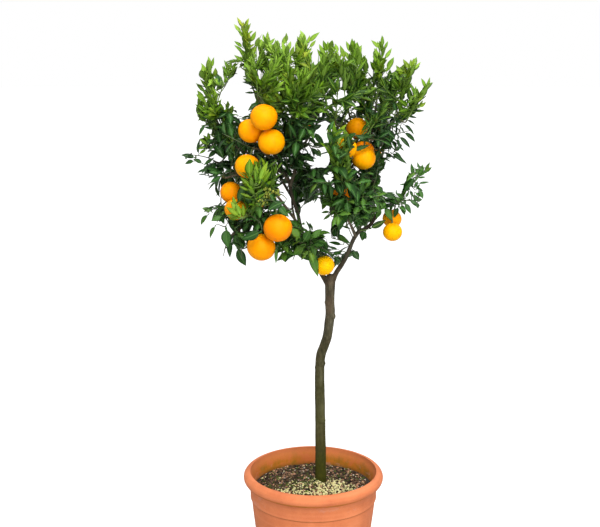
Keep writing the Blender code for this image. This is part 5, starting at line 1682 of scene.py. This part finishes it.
def stem_leaves(route, habit, columns, draw, from_share, sizes, loose):
    """The leaves round a stem as (share, leaf, tint), each turned until it fits and else left out."""
    style = HABITS[habit]
    total = route_length(route)
    count = max(4, round(total * (1 - from_share) / (style["spacing"] * (0.5 + 0.5 * sizes))))
    leaves = []
    for i in range(count + 1):
        share = from_share + (0.985 - from_share) * i / count
        root, along = along_route(route, share)
        out = along.orthogonal().normalized()
        spin = math.radians(GOLDEN_ANGLE * i + draw.uniform(-18, 18))
        near_tip = max(0.0, (share - 0.70) / 0.30)
        length = style["length"] * sizes * draw.uniform(0.80, 1.12) * (1 - 0.40 * near_tip ** 1.5)
        angle = math.radians((style["angle"] + draw.uniform(-12, 12)) * (1 - 0.60 * near_tip ** 2))
        tint = leaf_tint_and_painted_light(root, habit, 0.30 * near_tip, draw)
        droop = style["droop"] * draw.uniform(0.2, 1.4)
        if loose:
            room = (draw.uniform(*FILL_SLACK), draw.uniform(*FILL_OPENING))
        else:
            room = (draw.uniform(*MAIN_SLACK), draw.uniform(*MAIN_OPENING))
        for extra in TURNS_TRIED:
            sideways = Matrix.Rotation(spin + math.radians(extra), 3, along) @ out
            heading = (along * math.cos(angle) + sideways * math.sin(angle)).normalized()
            heading = (heading - Vector((0, 0, droop))).normalized()
            normal = along * (1 - style["sky"]) + Vector((0, 0, 1)) * style["sky"] - sideways * 0.25
            normal = normal - heading * normal.dot(heading)
            if normal.length < 0.05:
                normal = sideways - heading * sideways.dot(heading)
            leaf = pose_leaf(root, heading, normal.normalized(), length, habit, columns, draw, room)
            if leaf is not None:
                leaves.append((share, leaf, tint))
                break
    return leaves


def cut_route(route, share):
    """The part of a route up to a share of its length."""
    end, _ = along_route(route, share)
    kept = [route[0]]
    left = share * route_length(route)
    for before, point in zip(route, route[1:]):
        left -= (point - before).length
        if left <= 0.0005:
            break
        kept.append(point)
    return [*kept, end]


def leafy_stem(
    builder, route, habit, columns, draw, thick=SHOOT_RADII, from_share=0.08, sizes=1.0, least=3, loose=False,
):
    """A stem with its leaves. One that can carry fewer than the least number isn't built."""
    leaves = stem_leaves(route, habit, columns, draw, from_share, sizes, loose)
    if len(leaves) < least:
        return False
    if least:
        route = cut_route(route, min(1.0, leaves[-1][0] + 0.02))
    builder.tube(route, thick, 6 if columns == FINE_COLUMNS else 5, slot=1)
    for _, (points, faces, uvs, unders), tint in leaves:
        builder.add(points, faces, 0, uvs, tint, unders)
    return True


def side_route(start, heading, length, habit):
    """A side shoot leaves at an angle and then turns up, or for an old one, levels out."""
    lift = Vector((0, 0, 0.55 if habit == "young" else 0.05))
    tip = start + (heading + lift).normalized() * length
    middle = start + heading * 0.5 * length
    return bent_clear(bezier(start, start + heading * 0.2 * length, middle, tip, 5))


def leaf_tint_and_painted_light(place, habit, more, draw):
    """How bright a leaf is, partly its own tone and partly painted light and shade: by its habit and height, by patches
    of painted light and shade where it shows in the crown, and by painted shade towards the crown's middle.
    """
    # Painted light by height: young leaves are brighter higher up, partly their young colour and partly painted light
    # from above; old leaves are brighter lower down, which is painted light
    if habit == "young":
        level = min(0.50, max(0.02, 0.36 + (place.z - 1.45) * 2.6))
    else:
        level = min(0.40, max(0.08, 0.28 + (1.14 - place.z) * 1.6))
    across, down, _ = seen_at(place[:])
    # Patches of painted light and shade
    for x, y, half_x, half_y, deepest, *amounts in PAINTED_LIGHT_PATCHES:
        if place.y < deepest:
            amount = amounts[0 if habit == "young" else 1]
            level += amount * math.exp(-((across - x) / half_x) ** 2 - ((down - y) / half_y) ** 2)
    # Painted shade: darker towards the crown's middle
    offsets = [(place[i] - CROWN_CENTRE[i]) / CROWN_REACH[i] for i in range(3)]
    level -= INNER_SHADE * max(0.0, 1 - math.hypot(*offsets))
    return min(1.0, max(0.0, level + more + draw.uniform(-0.22, 0.22)))


def grow_shoot(number, materials):
    parent, foot, tip, habit = SHOOTS[number]
    draw = random.Random(f"shoot {number}")
    style = HABITS[habit]
    builder = Builder()
    route = shoot_route(foot, tip, habit)
    bare = BARE_SHOOTS.get(number + 1, 0.08)
    sizes = SMALL_LEAVED.get(number + 1, 1.0)
    leafy_stem(builder, route, habit, FINE_COLUMNS, draw, from_share=bare, sizes=sizes, least=0)
    for i in range(style["laterals"] if bare < 0.5 else 0):
        share = 0.06 + 0.42 * i / max(1, style["laterals"] - 1) * draw.uniform(0.8, 1.2)
        start, along = along_route(route, share)
        spin = Matrix.Rotation(math.radians(GOLDEN_ANGLE * i + draw.uniform(0, 60)), 3, along)
        sideways = (spin @ along.orthogonal()).normalized()
        spread = math.radians(style["lateral_angle"] + draw.uniform(-8, 8))
        heading = (along * math.cos(spread) + sideways * math.sin(spread)).normalized()
        length = route_length(route) * draw.uniform(0.45, 0.72)
        side = side_route(start, heading, length, habit)
        if route_fits(side):
            leafy_stem(builder, side, habit, FINE_COLUMNS, draw, (0.0014, 0.0008), 0.12, 0.92)
    label = f"spray_{number + 1:02d}"
    return placed(builder.build(f"{label}_leaves", materials[habit]), f"leaf_{habit}", label)


class Anchors:
    """The places on branches, twigs and shoots that further stems can spring from."""

    def __init__(self, shoot_share=0.5, routes=()):
        places = []
        for route in routes:
            places += self.spread(route, 0.0, 1.0)
        for name in BRANCHES:
            places += self.spread(branch_route(name, 4), 0.25 if name in LIMBS else 0.05, 1.0)
        for parent, foot, tip, habit in SHOOTS:
            places += self.spread(twig_route(parent, foot, tip, habit), 0.2, 1.0)
            places += self.spread(shoot_route(foot, tip, habit), 0.0, shoot_share)
        self.points = np.array([place[:] for place, _ in places])
        self.headings = [along for _, along in places]

    @staticmethod
    def spread(route, first, last):
        count = max(2, round(route_length(route) * (last - first) / 0.008))
        return [along_route(route, first + (last - first) * i / count) for i in range(count + 1)]

    def nearest(self, target):
        """The nearest place, with ones below the target favoured, its heading and its distance."""
        offsets = np.array(target[:]) - self.points
        distances = np.linalg.norm(offsets, axis=1)
        cost = distances - 0.35 * offsets[:, 2]
        best = int(np.argmin(cost))
        return Vector(self.points[best]), self.headings[best], float(distances[best])


def spring_route(start, along, foot, tip):
    """A stem from a branch that bends into the line from foot to tip."""
    line = (tip - foot).normalized()
    reach = (foot - start).length
    if reach < 0.004:
        return bent_clear([start, *bezier(foot, foot + line * 0.01, tip - line * 0.01, tip, 6)])
    joint = bezier(start, start + along * 0.3 * reach, foot - line * 0.4 * reach, foot, 5)
    return bent_clear([*joint, *bezier(foot, foot + line * 0.01, tip - line * 0.01, tip, 6)[1:]])


def extra_shoots(anchors, materials):
    """Builds the shoots that only the finish has, and gives their routes."""
    builders = {"young": Builder(), "old": Builder()}
    routes = []
    for number, (foot_pixel, tip_pixel, foot_y, tip_y, habit, sizes) in enumerate(EXTRA_SHOOTS):
        draw = random.Random(f"extra {number}")
        foot, tip = point_at(foot_pixel, foot_y), point_at(tip_pixel, tip_y)
        start, along, _ = anchors.nearest(foot)
        route = spring_route(start, along, foot, tip)
        bare = (foot - start).length / max(route_length(route), 1e-6)
        bare = min(0.6, bare + 0.03)
        if leafy_stem(builders[habit], route, habit, FINE_COLUMNS, draw, SHOOT_RADII, bare, sizes, 2):
            routes.append(route)
    for habit, builder in builders.items():
        placed(builder.build(f"extra_shoots_{habit}", materials[habit]), f"leaf_{habit}")
    return routes


def aimed_leaf(root, tip, shape, broad, width, facing):
    """A leaf from root to tip, stretched to its breadth, with its upper side to the front or to the sky."""
    points, faces, uvs, unders = shape
    heading = (tip - root).normalized()
    normal = Vector((0.0, -1.0, 0.5)) if facing == "front" else Vector((0.0, -0.75, 0.75))
    normal = (normal - heading * normal.dot(heading)).normalized()
    side = heading.cross(normal).normalized()
    reach = Vector(points[-1])
    length = (tip - root).length / reach.length
    points = points * length * np.array([broad / width, 1.0, 1.0])
    points = points @ np.array([side[:], heading[:], normal[:]])
    turn = Vector(points[-1]).rotation_difference(tip - root).to_matrix()
    return points @ np.array(turn).T + np.array(root[:]), faces, uvs, unders


def single_leaves(anchors, materials):
    builders = {"young": Builder(), "old": Builder()}
    draw = random.Random("single")
    for habit, depth, broad, arch, facing, leaves in SINGLE_LEAVES:
        width = HABITS[habit]["width"]
        for root_x, root_y, tip_x, tip_y in leaves:
            root = point_at((root_x, root_y), depth + draw.uniform(-0.006, 0.006))
            tip = point_at((tip_x, tip_y), root.y + draw.uniform(-0.012, 0.012))
            shape = leaf_template(habit, draw.randrange(TEMPLATES), FINE_COLUMNS, arch + draw.uniform(-0.1, 0.1))
            points, faces, uvs, unders = aimed_leaf(root, tip, shape, broad * draw.uniform(0.9, 1.1), width, facing)
            start, along, reach = anchors.nearest(root)
            heading = (tip - root).normalized()
            stem = bezier(start, start + along * 0.3 * reach, root - heading * 0.3 * reach, root, 5)
            builder = builders[habit]
            builder.tube(bent_clear(stem), (0.0012 + 0.02 * min(reach, 0.03), 0.0008), 6, slot=1)
            builder.add(points, faces, 0, uvs, leaf_tint_and_painted_light(root, habit, 0.10, draw), unders)
    for habit, builder in builders.items():
        placed(builder.build(f"single_leaves_{habit}", materials[habit]), f"leaf_{habit}")


def bare_twigs(anchors, materials):
    builder = Builder()
    for pixels, depth in BARE_TWIGS:
        places = [point_at(pixel, depth) for pixel in pixels]
        for end, beside in ((0, 1), (-1, -2)):
            start, _, reach = anchors.nearest(places[end])
            if reach < 0.02:
                places[end] = start
        builder.tube(smooth_route(places, 4), (0.0014, 0.0009), 6)
    placed(builder.build("bare_twigs", [materials["old"][1]]), "leaf_old")


def flower_buds(anchors, materials):
    """Small round buds on short stalks, in clusters."""
    draw = random.Random("buds")
    ball = bmesh.new()
    bmesh.ops.create_icosphere(ball, subdivisions=2, radius=1.0)
    unit = np.array([vertex.co[:] for vertex in ball.verts])
    faces = [tuple(vertex.index for vertex in face.verts) for face in ball.faces]
    ball.free()
    builder = Builder()
    for middle, half, depth, count in BUD_CLUSTERS:
        for _ in range(count):
            turn, out = draw.uniform(0, 2 * math.pi), math.sqrt(draw.random())
            pixel = (middle[0] + half[0] * out * math.cos(turn), middle[1] + half[1] * out * math.sin(turn))
            centre = point_at(pixel, depth + draw.uniform(-0.010, 0.010))
            size = draw.uniform(0.0017, 0.0029)
            builder.add(unit * size * np.array([1.0, 1.0, 1.35]) + np.array(centre[:]), faces, tint=draw.random())
            start, _, _ = anchors.nearest(centre)
            builder.tube([start, start.lerp(centre, 0.5) - Vector((0, 0, 0.001)), centre], (0.0008, 0.0006), 5, slot=1)
    bud = speckled("bud", (0.12, 0.17, 0.015), (0.32, 0.34, 0.05), 200.0, 0.5, 0.2)
    placed(builder.build("flower_buds", [bud, materials["young"][1]]), "leaf_young")


def in_crown(place):
    """Whether a place lies in the crown's body: an oval seen from above, narrower at its foot."""
    across = place.x / CROWN_HALF_WIDTH
    if abs(across) >= 1 or not CROWN_FLOOR < place.z < CROWN_TOP:
        return False
    swell = min(1.0, 0.55 + (place.z - CROWN_FLOOR) / 0.25)
    return abs(place.y - 0.02) < CROWN_DEPTH * swell * math.sqrt(1 - across ** 2)


def fill_crown(anchors, materials):
    """Short shoots, tried at random places in the crown, spring from the nearest wood."""
    draw = random.Random("fill")
    tips = [np.array(tip) for _, _, tip, _ in SHOOTS]
    builders = {"young": Builder(), "old": Builder()}
    for _ in range(FILL_TRIES):
        tip = Vector((draw.uniform(-0.34, 0.34), draw.uniform(-0.24, 0.28), draw.uniform(CROWN_FLOOR, CROWN_TOP)))
        if not in_crown(tip):
            continue
        here = np.array(tip[:])
        if np.min(np.linalg.norm(np.array(tips) - here, axis=1)) < FILL_ROOM:
            continue
        (x,), (y,), _ = seen_at([here])
        if not inside_outline(x, y, -FILL_EDGE) or in_opening(x, y, FILL_OPENING[1]) or hides(x, y, tip.y):
            continue
        if draw.random() < FILL_THIN * min(1.0, (YOUNG_ABOVE - tip.z) / 0.2):
            continue
        start, along, reach = anchors.nearest(tip)
        if not FILL_REACH[0] < reach < FILL_REACH[1]:
            continue
        habit = "young" if tip.z > YOUNG_ABOVE + draw.uniform(-0.03, 0.03) else "old"
        line = (tip - start).normalized()
        foot = start + (along * 0.4 + line).normalized() * min(0.25 * reach, 0.02)
        heading = (line + Vector((0, 0, 0.3 if habit == "young" else 0.0))).normalized()
        route = bezier(start, foot, tip - heading * 0.4 * reach, tip, 6)
        route = bent_clear(route)
        if not route_fits(route):
            continue
        from_share = min(0.5, 0.02 / reach)
        builder = builders[habit]
        if leafy_stem(builder, route, habit, PLAIN_COLUMNS, draw, (0.0013, 0.0008), from_share, 0.95, 3, True):
            tips.append(here)
    for habit, builder in builders.items():
        placed(builder.build(f"crown_fill_{habit}", materials[habit]), f"leaf_{habit}")


def leaf_material(name, dark, middle, light, rib, under, roughness):
    """Leaf colour runs from dark to light by each leaf's tint, which holds leaf-to-leaf tone and painted light and
    shade, with a pale midrib, faint side veins and a duller underside.
    """
    material, tree, shader = material_nodes(name)
    tint = add_node(tree, "ShaderNodeAttribute", attribute_name="tint")
    below = add_node(tree, "ShaderNodeAttribute", attribute_name="under")
    # The dark, middle and light tones serve as shaded and lit copies of the leaf colour as well as its own tone
    base = ramp(tree, tint.outputs["Fac"], [(0.05, dark), (0.45, middle), (0.95, light)])
    olive = ramp(tree, noise_at(tree, 15.0, 2.0), [(0.52, grey(0.0)), (0.66, grey(0.85))])
    base = mix(tree, olive, base, mix(tree, 1.0, base, (1.45, 0.98, 0.75), "MULTIPLY"))
    patches = noise_at(tree, 60.0, 3.0, 0.6)
    base = mix(tree, 0.45, base, ramp(tree, patches, [(0.3, grey(0.62)), (0.7, grey(1.0))]), "MULTIPLY")
    where = add_node(tree, "ShaderNodeUVMap", uv_map="blade")
    split = tree.nodes.new("ShaderNodeSeparateXYZ")
    tree.links.new(where.outputs["UV"], split.inputs["Vector"])
    centred = add_node(tree, "ShaderNodeMath", operation="SUBTRACT")
    tree.links.new(split.outputs["Y"], centred.inputs[0])
    centred.inputs[1].default_value = 0.5
    away = add_node(tree, "ShaderNodeMath", operation="ABSOLUTE")
    tree.links.new(centred.outputs["Value"], away.inputs[0])
    midrib = ramp(tree, away.outputs["Value"], [(0.012, grey(1.0)), (0.055, grey(0.0))])
    slant = add_node(tree, "ShaderNodeMath", operation="MULTIPLY_ADD")
    tree.links.new(away.outputs["Value"], slant.inputs[0])
    slant.inputs[1].default_value = -0.55
    tree.links.new(split.outputs["X"], slant.inputs[2])
    beat = add_node(tree, "ShaderNodeMath", operation="MULTIPLY")
    tree.links.new(slant.outputs["Value"], beat.inputs[0])
    beat.inputs[1].default_value = 82.0
    wave = add_node(tree, "ShaderNodeMath", operation="SINE")
    tree.links.new(beat.outputs["Value"], wave.inputs[0])
    veins = ramp(tree, wave.outputs["Value"], [(0.80, grey(0.0)), (1.0, grey(0.30))])
    base = mix(tree, veins, base, rib)
    base = mix(tree, midrib, base, rib)
    faded = add_node(tree, "ShaderNodeMath", operation="MULTIPLY")
    tree.links.new(below.outputs["Fac"], faded.inputs[0])
    faded.inputs[1].default_value = 0.75
    base = mix(tree, faded.outputs["Value"], base, under)
    tree.links.new(base, shader.inputs["Base Color"])
    shader.inputs["Roughness"].default_value = roughness
    shader.inputs["Specular IOR Level"].default_value = 0.15
    height = mix(tree, veins, ramp(tree, patches, [(0.0, grey(0.4)), (1.0, grey(0.6))]), grey(0.0))
    bump(tree, shader, height, 0.25, 0.0006)
    return material


def stem_material(name, colour, other):
    material, tree, shader = material_nodes(name)
    tree.links.new(ramp(tree, noise_at(tree, 80.0, 4.0, 0.6), [(0.3, colour), (0.7, other)]), shader.inputs["Base Color"])
    shader.inputs["Roughness"].default_value = 0.5
    return material


def foliage_materials():
    # The young leaves' light tone has extra blue for a painted sheen
    young = leaf_material(
        "leaf_young", (0.015, 0.060, 0.003), (0.096, 0.212, 0.004), (0.235, 0.385, 0.045),
        (0.21, 0.34, 0.03), (0.15, 0.26, 0.04), 0.46,
    )
    old = leaf_material(
        "leaf_old", (0.009, 0.038, 0.006), (0.027, 0.094, 0.015), (0.085, 0.200, 0.022),
        (0.070, 0.155, 0.035), (0.080, 0.160, 0.060), 0.38,
    )
    young_stem = stem_material("young_stem", (0.08, 0.15, 0.02), (0.17, 0.26, 0.05))
    old_stem = stem_material("old_stem", (0.03, 0.05, 0.015), (0.09, 0.11, 0.04))
    return {"young": [young, young_stem], "old": [old, old_stem]}


# Studio


def make_studio():
    floor_material, tree, shader = material_nodes("studio_floor")
    shader.inputs["Base Color"].default_value = (0.45, 0.45, 0.45, 1.0)
    shader.inputs["Roughness"].default_value = 1.0
    shader.inputs["Specular IOR Level"].default_value = 0.0
    shader.inputs["Emission Color"].default_value = (1.0, 1.0, 1.0, 1.0)
    seen = tree.nodes.new("ShaderNodeLightPath")
    glow = add_node(tree, "ShaderNodeMath", operation="MULTIPLY")
    tree.links.new(seen.outputs["Is Camera Ray"], glow.inputs[0])
    glow.inputs[1].default_value = FLOOR_GLOW
    tree.links.new(glow.outputs["Value"], shader.inputs["Emission Strength"])
    shape = bmesh.new()
    bmesh.ops.create_circle(shape, cap_ends=True, segments=96, radius=60.0)
    mesh = bpy.data.meshes.new("studio_floor")
    shape.to_mesh(mesh)
    shape.free()
    add_object("studio_floor", mesh, floor_material)
    world = bpy.data.worlds.new("studio")
    bpy.context.scene.world = world
    world.use_nodes = True
    tree = world.node_tree
    background = tree.nodes["Background"]
    background.inputs["Color"].default_value = (1.0, 1.0, 1.0, 1.0)
    seen = tree.nodes.new("ShaderNodeLightPath")
    where = tree.nodes.new("ShaderNodeTexCoord")
    split = tree.nodes.new("ShaderNodeSeparateXYZ")
    tree.links.new(where.outputs["Generated"], split.inputs["Vector"])
    sky = add_node(tree, "ShaderNodeMapRange")
    sky.inputs["To Min"].default_value = LOW_SKY_LIGHT
    sky.inputs["To Max"].default_value = HIGH_SKY_LIGHT
    tree.links.new(split.outputs["Z"], sky.inputs["Value"])
    level = add_node(tree, "ShaderNodeMapRange")
    level.inputs["To Max"].default_value = 1.0
    tree.links.new(sky.outputs["Result"], level.inputs["To Min"])
    tree.links.new(seen.outputs["Is Camera Ray"], level.inputs["Value"])
    tree.links.new(level.outputs["Result"], background.inputs["Strength"])
    for name, place, size, power in (
        ("key", (0.35, -2.6, 3.4), 1.5, 95.0), ("top", (0.3, -0.2, 3.8), 1.8, 58.0),
        ("front", (0.9, -3.2, 1.3), 2.0, 55.0),
    ):
        light = bpy.data.lights.new(name, "AREA")
        light.size = size
        light.energy = power
        lamp = bpy.data.objects.new(name, light)
        bpy.context.scene.collection.objects.link(lamp)
        lamp.location = place
        aim = Vector((0.0, 0.0, 1.1)) - Vector(place)
        lamp.rotation_euler = aim.to_track_quat("-Z", "Y").to_euler()


def make_camera():
    data = bpy.data.cameras.new("camera")
    data.sensor_width = SENSOR
    data.lens = FOCAL_PIXELS * SENSOR / PHOTO_WIDTH
    camera = bpy.data.objects.new("camera", data)
    bpy.context.scene.collection.objects.link(camera)
    camera.location = (CAMERA_X, -CAMERA_BACK, CAMERA_HEIGHT)
    camera.rotation_euler = (math.pi / 2 - CAMERA_TILT, 0.0, 0.0)
    bpy.context.scene.camera = camera
    bpy.context.scene.view_settings.view_transform = "Standard"
    bpy.context.scene.view_settings.look = "None"


def main():
    make_camera()
    make_studio()
    make_pot()
    make_soil()
    make_soil_bits()
    make_wood()
    peel_material = peel()
    calyx_material = stem_material("calyx", (0.06, 0.10, 0.02), (0.16, 0.17, 0.05))
    for number in range(len(FRUITS)):
        make_fruit(number, peel_material, calyx_material)
    materials = foliage_materials()
    for number in range(len(SHOOTS)):
        grow_shoot(number, materials)
    anchors = Anchors()
    routes = extra_shoots(anchors, materials)
    single_leaves(Anchors(1.0, routes), materials)
    near_wood = Anchors(1.0, routes)
    bare_twigs(near_wood, materials)
    flower_buds(near_wood, materials)
    fill_crown(anchors, materials)


main()
